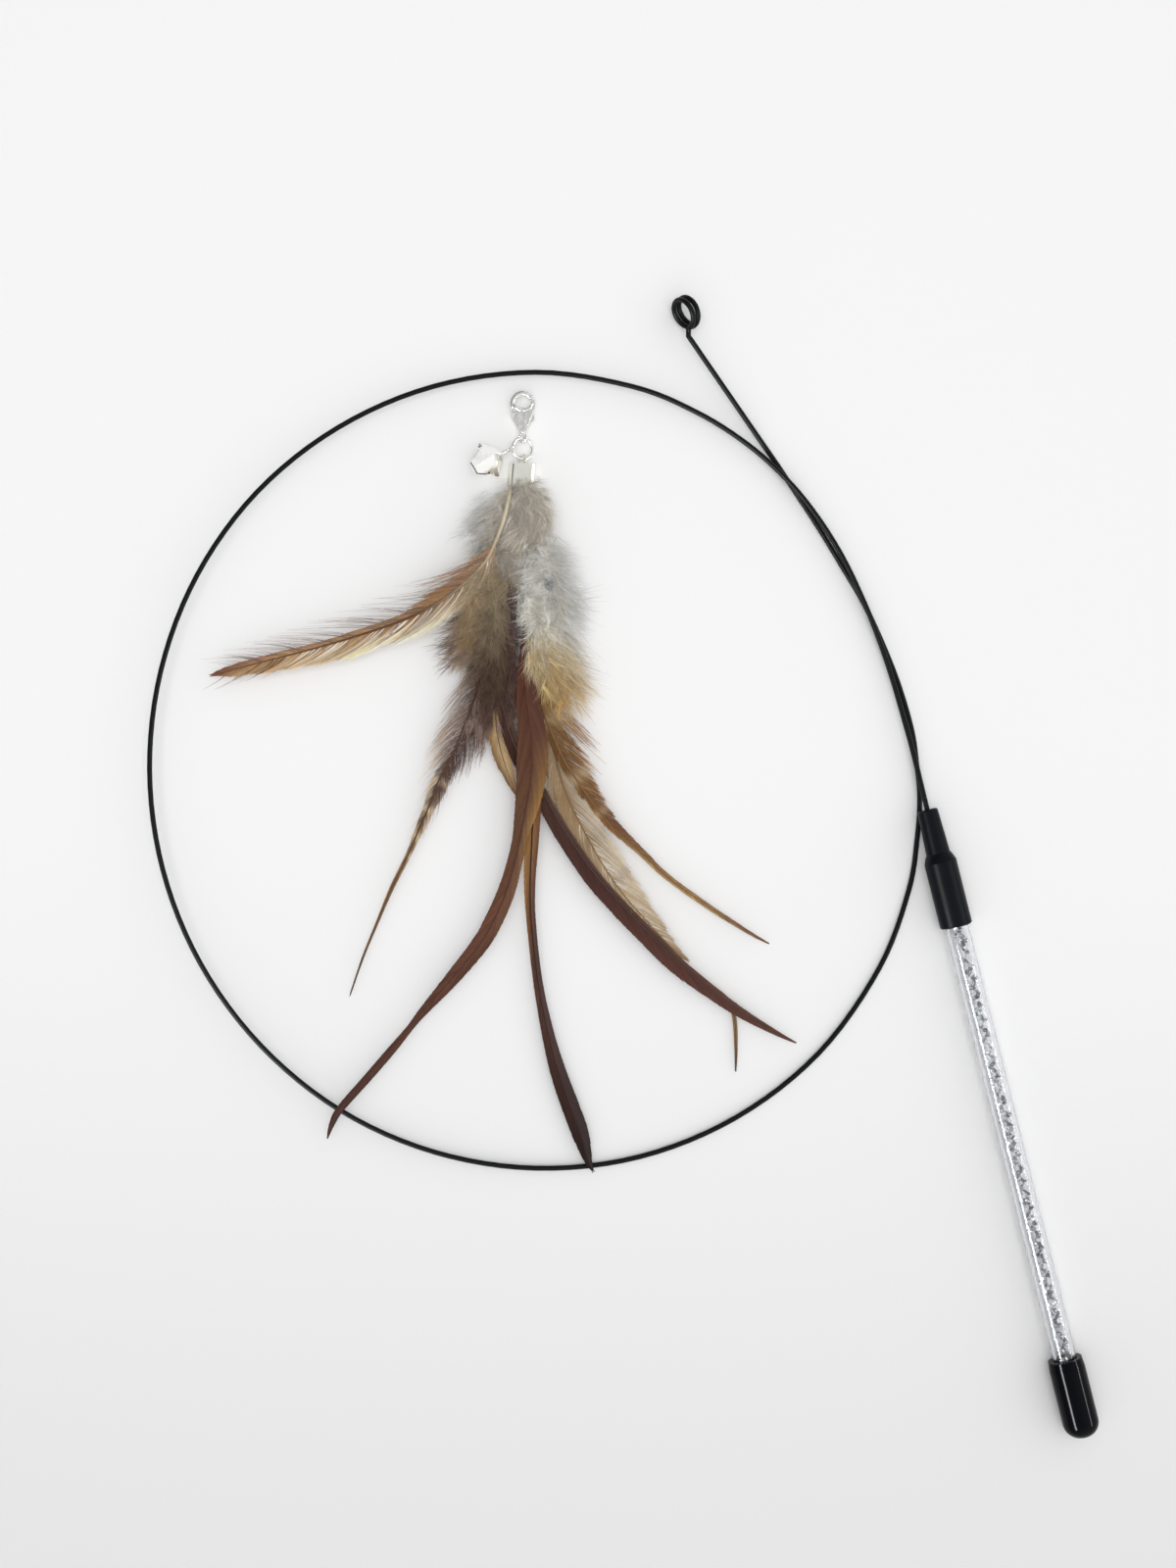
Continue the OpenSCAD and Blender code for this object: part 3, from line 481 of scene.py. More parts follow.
class Tone:
    """Colours down a vane: rows of share, left edge, middle, right edge.

    bars: pale or dark bars across it, as (share, half width, strength)."""

    def __init__(self, rows, bars=(), bar_tone=(220, 200, 160)):
        self.share = [r[0] for r in rows]
        self.cols = [linear([r[k] for r in rows]) for k in (1, 2, 3)]
        self.bars, self.bar_tone = bars, linear(bar_tone)

    def read(self, share, lateral):
        """share and lateral (-1 left edge, 1 right edge) are arrays alike."""
        left, mid, right = (
            np.stack([np.interp(share, self.share, c[:, k]) for k in range(3)], -1)
            for c in self.cols
        )
        w = np.abs(lateral)[..., None]
        edge = np.where(lateral[..., None] < 0, left, right)
        out = mid * (1 - w) + edge * w
        for where, wide, strength in self.bars:
            k = strength * np.exp(-(((share - where) / wide) ** 2))[..., None]
            out = out * (1 - k) + self.bar_tone * k
        return out


# Shares of a barb's length at which it has points
STEPS = np.linspace(0, 1, 7)[None]
# In millimetres: the quill's bare ends, a lock's width, the shortest barb, the narrowest
# vane that has barbs, and how low a barb lies
BARE_START, BARE_END, LOCK, BARB_MIN, VANE_MIN, BARB_Z = 0.5, 0.3, 1.7, 0.12, 0.05, 0.25


def vane_side(parts, line, tone, tag, local, spacing, lean, bow, glow, locks):
    """Barbs down one side of a quill: tag -1 is the photograph's left, 1 its right."""
    # Heading down the photograph, the right-hand side of travel is its left
    sign, column = (1, 3) if tag < 0 else (-1, 4)
    s = np.arange(BARE_START, line.length - BARE_END, spacing)
    root = s + local.uniform(-0.4, 0.4, len(s)) * spacing
    here = line.read(root)
    width, loose = here[:, column], here[:, 5]
    angle = np.radians(lean) * (1 + loose * 0.55)
    # Barbs of a loose vane part into locks
    knots = np.arange(0, line.length + 3, LOCK)
    lock = np.interp(root, knots, local.normal(0, 1, len(knots)))
    # Where the vane narrows, each barb ends on the vane's edge
    reach = first = line.read(root + width / np.tan(angle))[:, column]
    rounds = 8
    for _ in range(rounds):
        edge = line.read(root + reach / np.tan(angle))[:, column]
        reach = np.where(first < width, (reach + edge) / 2, first)
    reach = reach * (1 + loose * (0.28 * lock + local.uniform(-0.3, 0.22, len(s))))
    reach = reach * (1 + local.normal(0, 0.02, len(s)))
    on = (reach > BARB_MIN) & (width > VANE_MIN)
    if not on.any():
        return
    root, loose, angle, reach, lock = (a[on] for a in (root, loose, angle, reach, lock))
    jitter = local.normal(0, 1, len(root))
    forward = reach / np.tan(angle) * (1 + 0.25 * loose * jitter)
    ahead = root[:, None] + forward[:, None] * (0.72 * STEPS + 0.28 * STEPS**2)
    lateral = reach[:, None] * (1.28 * STEPS - 0.28 * STEPS**2)
    path = line.beside(ahead, sign * lateral)
    lift = -bow * lateral + local.normal(0, 0.06, (len(root), 1)) * STEPS
    lift = lift + loose[:, None] * (local.normal(0.25, 0.7, (len(root), 1)) * STEPS**1.5)
    path[..., 2] = np.maximum(path[..., 2] + lift, BARB_Z)
    across = unit(np.cross(unit(np.gradient(path, axis=1)), UP)) + UP * (sign * 0.25)
    wide = (0.30 - 0.19 * loose)[:, None] * (1 - 0.55 * STEPS**2)
    full = np.maximum(line.read(ahead)[..., column], 0.3)
    shade = tone.read(ahead / line.length, tag * np.clip(lateral / full, 0, 1))
    tint = 1 + local.normal(0, glow, (len(root), 1, 1)) + locks * lock[:, None, None]
    parts.ribbons(path, wide, across, shade * tint)


def loose_barbs(parts, line, local, sign, start, end, count, near, far, colour, thick):
    """Single barbs, near long at the share start of the quill and far long at its end."""
    share = local.uniform(start, end, count)
    reach = np.interp(share, [start, end], [near, far]) * local.uniform(0.6, 1.1, count)
    forward = reach[:, None] * local.uniform(1.8, 3.6, (count, 1))
    ahead = (share * line.length)[:, None] + forward * (0.7 * STEPS + 0.3 * STEPS**2)
    path = line.beside(ahead, sign * reach[:, None] * (1.2 * STEPS - 0.2 * STEPS**2))
    path[..., 2] += local.normal(0.1, 0.4, (count, 1)) * STEPS
    across = unit(np.cross(np.gradient(path, axis=1), UP))
    wide = thick * (1.2 - STEPS) * local.uniform(0.6, 1.2, (count, 1))
    shade = linear(colour) * np.exp(local.normal(0, 0.25, (count, 1, 1)))
    parts.ribbons(path, wide, across, np.broadcast_to(shade, path.shape))


def feather(name, rows, tone, quill, tip, seed, lean, spacing=0.16, bow=0.1, quill_r=0.34,
            glow=0.09, locks=0.06, hairs=()):
    """rows: (u, v, height, left width, right width, looseness), widths in pixels.

    quill and tip: the quill's colours. lean: degrees between barb and quill.
    glow and locks: how much the barbs differ in brightness, one by one and in locks.
    hairs: loose single barbs, as (side, from, to, count, length, end length, colour, width),
    where side 1 is the photograph's left and from and to are shares of the quill."""
    local = np.random.default_rng(seed)
    line = Line([
        (*at(u, v, z), left * PIXEL, right * PIXEL, loose) for u, v, z, left, right, loose in rows
    ])
    parts = Parts()
    for tag in (-1, 1):
        vane_side(parts, line, tone, tag, local, spacing, lean, bow, glow, locks)
    for hair in hairs:
        loose_barbs(parts, line, local, *hair)
    rings = 160
    stem = line.read(np.linspace(0, line.length - 0.4, rings))
    share = np.linspace(0, 1, rings)
    r = quill_r * (1 - share) ** 0.75 + 0.05
    mix = np.clip((share - 0.12) / 0.35, 0, 1)[:, None]
    parts.tube(stem[:, :3] + UP * 0.05, r, linear(quill) * (1 - mix) + linear(tip) * mix, sides=6)
    ob = parts.mesh(name, vane_look)
    return hang(ob, "feathers", name.replace("_vane", "_feather"))


BROWN, DARK, GOLD, CREAM = (118, 74, 52), (84, 50, 46), (178, 128, 78), (222, 202, 165)

feather(
    "gold_vane",
    rows=[
        (521, 497, 2.1, 0, 0, 0), (519.5, 507, 7.4, 0, 0, 0), (514, 530, 10.4, 0, 0, 0),
        (506, 552, 9.6, 2, 1, 1), (496, 572, 8.4, 15, 8, 1), (478, 592, 7.4, 18, 15, 0.6),
        (450, 613, 6.8, 13, 19, 0.4), (414, 632, 6.4, 7, 18, 0.16), (361, 650, 6, 5.5, 18, 0.14),
        (320, 662, 5.7, 5, 16, 0.16), (289, 670, 5.4, 5.5, 13, 0.16), (250, 680, 5, 5, 9, 0.2),
        (228, 686, 4.8, 4, 4, 0.15), (216, 689, 4.6, 1, 1, 0),
    ],
    tone=Tone([
        (0, GOLD, GOLD, GOLD), (0.2, (196, 152, 112), (190, 148, 108), (214, 188, 150)),
        (0.33, (186, 146, 110), (176, 134, 94), (246, 234, 208)),
        (0.45, (172, 134, 98), (168, 126, 84), (252, 244, 222)),
        (0.6, (162, 124, 90), (200, 166, 118), (248, 234, 204)),
        (0.8, (168, 126, 94), (204, 168, 122), (228, 202, 160)),
        (0.93, (152, 104, 78), (176, 130, 94), (212, 180, 138)),
        (1, (130, 76, 58), (136, 82, 62), (146, 96, 72)),
    ]),
    quill=(232, 220, 192), tip=(122, 82, 58), seed=11, lean=14, quill_r=0.5, glow=0.2, locks=0.12,
    hairs=[(1, 0.2, 0.93, 100, 9, 4, (126, 110, 100), 0.12),
           (-1, 0.2, 0.9, 34, 5.6, 3.6, (255, 250, 236), 0.26),
           (-1, 0.4, 0.97, 40, 5, 3.4, (132, 94, 62), 0.16)],
)
feather(
    "barred_vane",
    rows=[
        (516, 500, 1.2, 0, 0, 0), (508, 560, 4, 0, 0, 0), (502, 618, 4.2, 2, 2, 1),
        (490, 690, 4.2, 16, 18, 1), (472, 745, 4.3, 17, 22, 0.9), (459, 775, 4.4, 14, 14, 0.6),
        (446, 800, 4.7, 8, 10, 0.3), (439, 820, 5, 6, 7, 0.25), (428, 845, 5.1, 4, 5, 0.2),
        (416, 873, 5, 2.5, 3, 0.1), (400, 905, 4.6, 2, 2.4, 0), (387, 936, 4.2, 1.4, 1.6, 0),
        (370, 978, 3.6, 1, 1, 0), (356, 1019, 3, 0.4, 0.4, 0),
    ],
    tone=Tone([
        # The left edge, paler than the rest from share 0.3 to 0.58, is a painted highlight
        (0, DARK, DARK, DARK), (0.3, (150, 130, 116), (96, 76, 68), (130, 110, 98)),
        (0.5, (176, 158, 144), (84, 58, 54), (120, 96, 88)),
        (0.58, (216, 200, 176), (92, 68, 56), (128, 102, 88)),
        (0.64, (170, 146, 116), (124, 98, 74), (206, 188, 166)),
        (0.7, (190, 164, 126), (146, 116, 84), (196, 170, 132)),
        (0.78, (184, 148, 104), (152, 114, 76), (156, 122, 84)),
        (1, (120, 100, 84), (110, 90, 76), (120, 100, 84)),
    ], bars=[(0.563, 0.006, 0.5), (0.618, 0.007, 0.7), (0.672, 0.009, 0.75), (0.71, 0.006, 0.4)],
       bar_tone=(236, 216, 180)),
    quill=(110, 88, 76), tip=(104, 78, 58), seed=12, lean=18, glow=0.2, locks=0.16,
    hairs=[(-1, 0.42, 0.66, 26, 4.4, 2.2, (96, 76, 74), 0.13),
           (1, 0.42, 0.66, 20, 4, 2, (190, 176, 166), 0.13)],
)
feather(
    "curl_vane",
    rows=[
        (529, 500, 2.1, 0, 0, 0), (532, 560, 5.3, 0, 0, 0), (533, 610, 5.4, 0, 0, 0),
        (535, 640, 6.5, 2, 2, 0.3), (536, 668, 7.4, 7, 6, 0.1), (538, 710, 8, 12, 12, 0),
        (543, 752, 8, 15, 15, 0), (542, 795, 8, 14.5, 14, 0), (536, 828, 8, 10.5, 11.5, 0),
        (531.5, 851, 7.9, 7.8, 7.4, 0), (527.5, 871, 7.8, 7.4, 7, 0), (520.5, 898, 7.4, 8.4, 8.2, 0),
        (514, 917, 7, 8.8, 8.6, 0), (504.5, 938, 6.7, 9, 8.8, 0), (491, 962, 6.4, 8.6, 8.4, 0),
        (462, 998, 6, 7.2, 7, 0), (431, 1033, 5.8, 4.2, 4.2, 0), (418, 1049, 5.7, 3, 3.4, 0),
        (400, 1071, 5.6, 4, 4, 0), (375, 1100, 5.5, 4, 4, 0), (347.5, 1131.5, 5.5, 3.8, 3.4, 0.02),
        (339, 1147, 5.4, 3, 2.4, 0.05), (334.3, 1161, 5.2, 0.6, 0.6, 0),
    ],
    tone=Tone([
        (0, DARK, DARK, DARK), (0.26, (98, 54, 42), (104, 58, 44), (90, 50, 42)),
        (0.34, (116, 76, 56), (104, 64, 48), (104, 62, 46)),
        (0.4, (118, 80, 58), (112, 74, 52), (158, 116, 68)),
        (0.47, (116, 80, 58), (122, 84, 58), (184, 142, 86)),
        (0.52, (116, 78, 56), (118, 78, 55), (150, 108, 68)),
        (0.65, (112, 72, 54), (120, 76, 56), (104, 66, 50)),
        (0.8, (98, 60, 46), (106, 66, 50), (94, 58, 46)),
        (1, (82, 50, 44), (86, 52, 44), (82, 50, 42)),
    ]),
    quill=(124, 78, 56), tip=(100, 62, 48), seed=13, lean=14, bow=0.16, spacing=0.13, quill_r=0.26,
    glow=0.1, locks=0.1,
)
feather(
    "straight_vane",
    rows=[
        (533, 500, 2.1, 0, 0, 0), (539, 600, 5.3, 0, 0, 0), (541, 655, 5.6, 1, 1, 0),
        (542, 710, 6.2, 5, 5, 0), (545, 800, 6.6, 7, 7, 0), (543, 850, 6.6, 7, 7, 0),
        (541, 900, 6, 6, 5, 0), (542, 940, 5.2, 4.5, 4.5, 0), (548.5, 1000, 4.2, 4.4, 4.6, 0),
        (558, 1050, 3.5, 6, 6, 0), (569, 1092, 3.2, 8, 8, 0), (581, 1127, 3.1, 8.5, 9, 0.04),
        (592, 1157, 3, 8, 8.5, 0.06), (600, 1184, 2.9, 4, 4, 0.05), (604.6, 1194, 2.9, 1, 1, 0),
    ],
    tone=Tone([
        (0, DARK, DARK, DARK), (0.35, (156, 110, 64), (160, 112, 66), (146, 98, 58)),
        (0.52, (176, 134, 80), (166, 120, 70), (120, 78, 50)),
        (0.6, (170, 122, 72), (120, 76, 52), (92, 58, 48)),
        (0.68, (120, 78, 58), (92, 60, 50), (82, 54, 48)),
        (0.78, (86, 56, 48), (92, 60, 50), (80, 52, 48)),
        (0.86, (70, 44, 38), (74, 46, 40), (64, 40, 36)),
        (1, (40, 25, 22), (44, 27, 24), (38, 24, 22)),
    ]),
    quill=(124, 80, 56), tip=(52, 32, 28), seed=14, lean=13, bow=0.2, spacing=0.13, quill_r=0.24,
)
feather(
    "sweep_vane",
    rows=[
        (528, 500, 1.2, 0, 0, 0), (524, 600, 4.2, 0, 0, 0), (513, 700, 4.7, 5, 5, 0.2),
        (518, 739, 4.8, 8, 6, 0), (531, 771, 4.8, 10, 5, 0), (556, 812, 4.8, 11, 4, 0),
        (577, 848, 4.7, 12, 4, 0), (606, 890, 4.6, 13, 4, 0), (632, 920, 4.4, 13, 4, 0),
        (657, 946, 4.2, 13, 4.5, 0), (689, 979, 3.9, 12, 5, 0.02), (723, 1009, 3.5, 8, 5.5, 0.02),
        (755, 1033, 3.1, 5, 5, 0.03), (790, 1053, 2.7, 2.6, 2.6, 0.06), (812, 1064, 2.4, 0.6, 0.6, 0),
    ],
    tone=Tone([
        (0, DARK, DARK, DARK), (0.4, (78, 50, 40), (84, 56, 44), (112, 80, 64)),
        (0.6, (92, 60, 52), (80, 50, 44), (104, 74, 62)),
        (0.8, (112, 72, 62), (96, 60, 52), (110, 76, 64)),
        (1, (112, 80, 68), (110, 76, 64), (106, 76, 66)),
    ]),
    # The quill's paler tone is partly its own colour and partly a painted highlight along its ridge
    quill=(120, 88, 74), tip=(96, 68, 58), seed=15, lean=14, bow=0.16, spacing=0.13, quill_r=0.3,
)
feather(
    "cream_vane",
    rows=[
        (541, 500, 1.2, 0, 0, 0), (548, 620, 4.2, 1, 1, 1), (556, 700, 4.6, 8, 8, 1),
        (564, 760, 4.6, 14, 14, 0.6), (577, 808, 4.5, 14, 17, 0.35), (598, 852, 4.1, 13, 19, 0.3),
        (618, 887, 3.8, 10, 19, 0.25), (638, 915, 3.5, 9, 16, 0.2), (660, 940, 3.3, 7, 12, 0.15),
        (684, 966, 3.1, 4, 6, 0.1), (702, 980, 3, 1, 1, 0),
    ],
    tone=Tone([
        (0, CREAM, CREAM, CREAM), (0.5, (196, 176, 148), (176, 148, 116), (214, 202, 182)),
        (0.62, (176, 148, 112), (168, 136, 100), (238, 228, 212)),
        (0.75, (176, 150, 116), (200, 176, 142), (238, 228, 208)),
        (0.88, (186, 158, 120), (210, 184, 146), (216, 196, 162)),
        (1, (160, 132, 98), (180, 152, 116), (186, 160, 124)),
    ], bars=[(0.6, 0.01, 0.3), (0.7, 0.012, 0.4), (0.79, 0.012, 0.45), (0.93, 0.01, 0.3)],
       bar_tone=(148, 116, 82)),
    quill=(190, 164, 130), tip=(150, 120, 88), seed=16, lean=16, glow=0.07, locks=0.02,
    hairs=[(-1, 0.62, 0.95, 60, 5, 2.4, (244, 238, 224), 0.16),
           (-1, 0.6, 0.9, 16, 5.4, 2.6, (140, 116, 90), 0.1),
           (1, 0.6, 0.9, 30, 3, 2, (226, 212, 188), 0.14)],
)
feather(
    "amber_vane",
    rows=[
        (540, 500, 2.1, 0, 0, 0), (545, 600, 5.3, 0, 0, 0), (547, 650, 5.3, 3, 5, 1),
        (550, 690, 5.3, 4, 18, 1), (554, 725, 5.4, 5, 32, 0.7), (566, 755, 5.4, 6, 30, 0.6),
        (580, 783, 5.4, 6, 18, 0.45), (602, 815, 5.3, 5, 11, 0.3), (622, 841, 5.2, 4, 8, 0.25),
        (655, 871, 4.8, 3.4, 4.4, 0.1), (682, 896, 4.5, 3, 3.2, 0.1), (724, 926, 4, 2.8, 2.8, 0.1),
        (752, 944, 3.6, 2.2, 2.2, 0.1), (770, 955, 3.4, 1.5, 1.5, 0.1), (785, 963, 3.2, 0.5, 0.5, 0),
    ],
    tone=Tone([
        (0, CREAM, CREAM, CREAM), (0.3, (196, 168, 122), (180, 146, 98), (204, 178, 130)),
        (0.4, (146, 106, 64), (132, 94, 54), (186, 150, 98)),
        (0.49, (130, 92, 52), (120, 82, 46), (148, 106, 58)),
        (0.56, (136, 98, 60), (124, 86, 52), (150, 108, 66)),
        (0.65, (160, 116, 74), (136, 90, 56), (124, 84, 58)),
        (0.72, (206, 176, 128), (160, 122, 76), (146, 108, 72)),
        (0.85, (206, 178, 128), (184, 150, 102), (166, 130, 90)),
        (0.94, (190, 158, 118), (160, 122, 90), (140, 104, 78)),
        (1, (120, 84, 66), (120, 84, 66), (120, 84, 66)),
    ], bars=[(0.42, 0.012, 0.45), (0.536, 0.012, 0.45), (0.612, 0.007, 0.35)], bar_tone=(236, 214, 172)),
    quill=(120, 84, 56), tip=(150, 112, 76), seed=17, lean=20, glow=0.16, locks=0.06,
    hairs=[(-1, 0.3, 0.6, 60, 6, 2.4, (158, 124, 80), 0.12)],
)
feather(
    "short_vane",
    rows=[
        (522, 500, 1.2, 0, 0, 0), (513, 600, 4.1, 0, 0, 0), (507, 690, 4, 6, 6, 0.8),
        (506, 735, 4, 10, 10, 0.3), (510, 762, 3.7, 9, 9, 0.15), (518, 788, 3.4, 6, 6, 0.15),
        (525, 806, 3.1, 2.4, 2.4, 0.05), (529, 814, 3, 0.6, 0.6, 0),
    ],
    tone=Tone([
        (0, GOLD, GOLD, GOLD), (0.7, (160, 122, 78), (206, 178, 130), (186, 148, 100)),
        (0.9, (150, 110, 70), (216, 192, 148), (196, 160, 112)),
        (1, (140, 100, 64), (160, 120, 80), (150, 110, 72)),
    ]),
    quill=(200, 170, 120), tip=(150, 112, 74), seed=18, lean=20,
)
feather(
    "hidden_vane",
    rows=[
        (535, 500, 1.2, 0, 0, 0), (541, 600, 4.1, 0, 0, 0), (545, 700, 3.9, 1.5, 1.5, 0.2),
        (551, 760, 3.4, 2, 2, 0), (575, 826, 3, 2.5, 2.5, 0), (614, 890, 2.6, 2.5, 2.5, 0),
        (668, 957, 2.3, 2.5, 2.5, 0), (719, 1001, 2, 2.2, 2.2, 0), (743, 1021, 1.9, 2, 2, 0),
        (749.5, 1040, 1.8, 2, 2, 0), (751, 1070, 1.7, 1.5, 1.5, 0), (750.6, 1095, 1.6, 0.4, 0.4, 0),
    ],
    tone=Tone([
        (0, BROWN, BROWN, BROWN), (0.88, (170, 134, 92), (186, 150, 104), (160, 124, 84)),
        (0.95, (150, 116, 82), (150, 118, 84), (130, 100, 74)),
        (1, (80, 62, 54), (80, 62, 54), (80, 62, 54)),
    ]),
    quill=(150, 110, 76), tip=(110, 84, 62), seed=19, lean=14,
)


# Down: each tuft is a few soft plumes of thin curling barbs

# How much darker a mass of barbs looks than one barb: 0 no darker, 1 as in deep fur
MASS = 0.5
# How strongly a barb droops, and its lowest height in millimetres
SAG, LOWEST = 0.2, 0.5


def lit(c):
    """A barb's own colour, for a mass of barbs that shows display colour c."""
    shown = linear(c)
    inner = (1 - shown) / (1 + 2 * shown)
    return shown + MASS * (1 - inner**2 - shown)


def wisp_starts(local, count, wisp, fade):
    """Shares of the plume at which wisps start. Past the share fade they thin out."""
    many = max(3 * count // wisp, 3)
    share = local.uniform(0, 1, many)
    stays = local.uniform(0, 1, many) < 1 - 0.85 * np.clip((share - fade) / (1 - fade), 0, 1)
    return share[stays][:max(count // wisp, 1)]


def grow(local, here, out, way, curl, step, wild):
    """Barbs that set out from here, drawn along the plume, curling and drooping."""
    path = [here]
    for _ in range(STEPS.size - 1):
        out = unit(out + (way * 0.1 + curl * 0.6 - UP * SAG) * (1 / 3))
        curl = curl + local.normal(0, wild * 0.35, curl.shape)
        here = here + out * step
        path.append(here)
    path = np.stack(path, 1)
    path[..., 2] = np.maximum(path[..., 2], LOWEST)
    return path


def blend(tones, share, t):
    """Colours at a share of the plume and a share t of the barb's length."""
    root_a, tip_a, root_b, tip_b = (lit(c) for c in tones)
    mix = t**0.8
    shade = (root_a * (1 - share) + root_b * share) * (1 - mix)
    return shade + (tip_a * (1 - share) + tip_b * share) * mix


def plume(parts, rows, count, length, tones, seed, spread, rise=(-10, 30), thin=0.075,
          sides=(-1, 1), wild=0.4, scatter=1.0, fade=0.5, glow=0.13, wisp=10):
    """Wisps of barbs along rows of (u, v, height).

    tones: the barbs' root and tip colours at the plume's start, then at its end.
    spread and rise: ranges in degrees for how far wisps turn from the plume and up.
    wild: how much the barbs curl. wisp: barbs in each wisp."""
    local = np.random.default_rng(seed)
    normal, uniform = local.normal, local.uniform
    line = Line([at(u, v, z) for u, v, z in rows])
    s = wisp_starts(local, count, wisp, fade) * line.length
    groups = len(s)
    # Each barb shares most of its wisp's place, direction, curl, length and brightness
    of = local.integers(0, groups, count)
    turn_by = np.radians(uniform(*spread, groups))[of] + normal(0, 0.17, count)
    up_by = np.radians(uniform(*rise, groups))[of] + normal(0, 0.12, count)
    curl = normal(0, 1, (groups, 3))[of] * wild * 0.9 + normal(0, wild * 0.5, (count, 3))
    reach = length * (uniform(0.5, 1.1, groups) * (1 - 0.3 * (s / line.length) ** 2))[of]
    reach = reach * uniform(0.55, 1.05, count)
    side = local.choice(sides, groups)[of]
    root = normal(0, 1, (groups, 3))[of] * np.array([scatter, scatter, 0.6])
    tint = np.exp(glow * normal(0, 1, groups)[of] + glow * 0.4 * normal(0, 1, count))
    s = s[of] + normal(0, 0.3, count)
    way = line.heading(s)
    out = way * np.cos(turn_by)[:, None] + unit(np.cross(way, UP)) * (side * np.sin(turn_by))[:, None]
    out = out * np.cos(up_by)[:, None] + UP * np.sin(up_by)[:, None]
    here = line.read(s)[:, :3] + root + normal(0, 0.28, (count, 3))
    path = grow(local, here, out, way, curl, (reach / (STEPS.size - 1))[:, None], wild)
    wide = thin * (1.25 - STEPS**1.5) * uniform(0.6, 1.3, (count, 1))
    face = unit(normal(0, 0.6, (count, 1, 3)) + UP)
    across = unit(np.cross(np.gradient(path, axis=1), face))
    share = np.clip(s / line.length, 0, 1)[:, None, None]
    parts.ribbons(path, wide, across, blend(tones, share, STEPS[..., None]) * tint[:, None, None])


def tuft(name, node, plumes, seed):
    """plumes: rows, number of barbs, their length and tones, and how they lie."""
    parts = Parts()
    for k, (rows, count, length, tones, how) in enumerate(plumes):
        plume(parts, rows, count, length, tones, seed + k, **how)
    return hang(parts.mesh(name, down_look), "feathers", node)


# Down the photograph, side 1 is its left
LEFT, RIGHT = (1,), (-1,)
# Colours of root and tip at a plume's start, then at its end
TAUPE = ((172, 162, 147), (190, 181, 166), (166, 155, 138), (184, 175, 160))
SMOKE = ((176, 175, 169), (200, 199, 194), (182, 181, 176), (206, 205, 201))

crown = [
    # The taupe cloud below the crimp, and its lobe to the right
    ([(527, 500, 3), (518, 520, 5), (507, 542, 5.4), (498, 560, 4.8)], 3600, 7, TAUPE,
     dict(spread=(0, 50), scatter=1.5, wild=0.3, fade=0.5, glow=0.18)),
    ([(533, 500, 3.4), (531, 520, 7.4), (527, 540, 8.4), (519, 556, 8)], 4200, 6.5, TAUPE,
     dict(spread=(0, 50), scatter=1.5, wild=0.3, fade=0.5, glow=0.18)),
    ([(537, 500, 3.4), (546, 512, 6.8), (553, 526, 7.4), (557, 538, 7)], 3600, 5.5, TAUPE,
     dict(spread=(0, 45), rise=(-10, 12), scatter=1.5, wild=0.25, fade=0.5)),
    # A darker plume whose barbs darken towards its end: painted shade along the cloud's lower right edge
    ([(540, 516, 6), (544, 532, 8), (540, 548, 8.4), (530, 560, 8)], 3000, 6,
     ((160, 150, 132), (176, 167, 150), (144, 132, 112), (162, 151, 131)),
     dict(spread=(0, 40), rise=(-10, 15), scatter=1.5, wild=0.25, fade=0.6, glow=0.2)),
    # Thin smoky barbs that sweep out to the left
    ([(522, 504, 3.4), (507, 518, 4), (494, 534, 4), (486, 552, 3.6)], 900, 7.5,
     ((166, 162, 152), (194, 191, 182), (176, 173, 164), (202, 199, 191)),
     dict(spread=(0, 50), rise=(-8, 6), sides=(1, 1, 1, -1), scatter=1.0, wild=0.2, fade=0.7, glow=0.22)),
    ([(512, 530, 3.4), (500, 548, 4), (490, 568, 3.6)], 800, 7, SMOKE,
     dict(spread=(10, 60), rise=(-8, 6), sides=LEFT, scatter=1.0, wild=0.2, fade=0.7, glow=0.24)),
    ([(509, 516, 3.4), (494, 526, 3.8), (480, 538, 3.4)], 260, 9,
     ((168, 166, 160), (186, 185, 180), (172, 170, 165), (190, 189, 185)),
     dict(spread=(0, 40), rise=(-6, 4), scatter=1.6, wild=0.16, thin=0.065, wisp=6, fade=0.8)),
    # Grey brown fluff that closes the gap below the cloud
    ([(508, 560, 6.6), (518, 574, 7.6), (526, 590, 7.8)], 2200, 5.5,
     ((144, 133, 116), (160, 150, 134), (146, 137, 124), (164, 156, 143)),
     dict(spread=(0, 80), scatter=1.4, fade=0.9)),
    # White fluff in the middle
    ([(543, 562, 8.6), (549, 580, 9.6), (551, 600, 9.8), (547, 622, 9.4)], 3000, 6,
     ((202, 197, 184), (222, 217, 205), (210, 205, 192), (232, 228, 217)),
     dict(spread=(10, 90), wild=0.6, thin=0.07, scatter=1.7, fade=0.6, glow=0.22)),
]
tuft("crown_down", "down_crown", crown, 100)

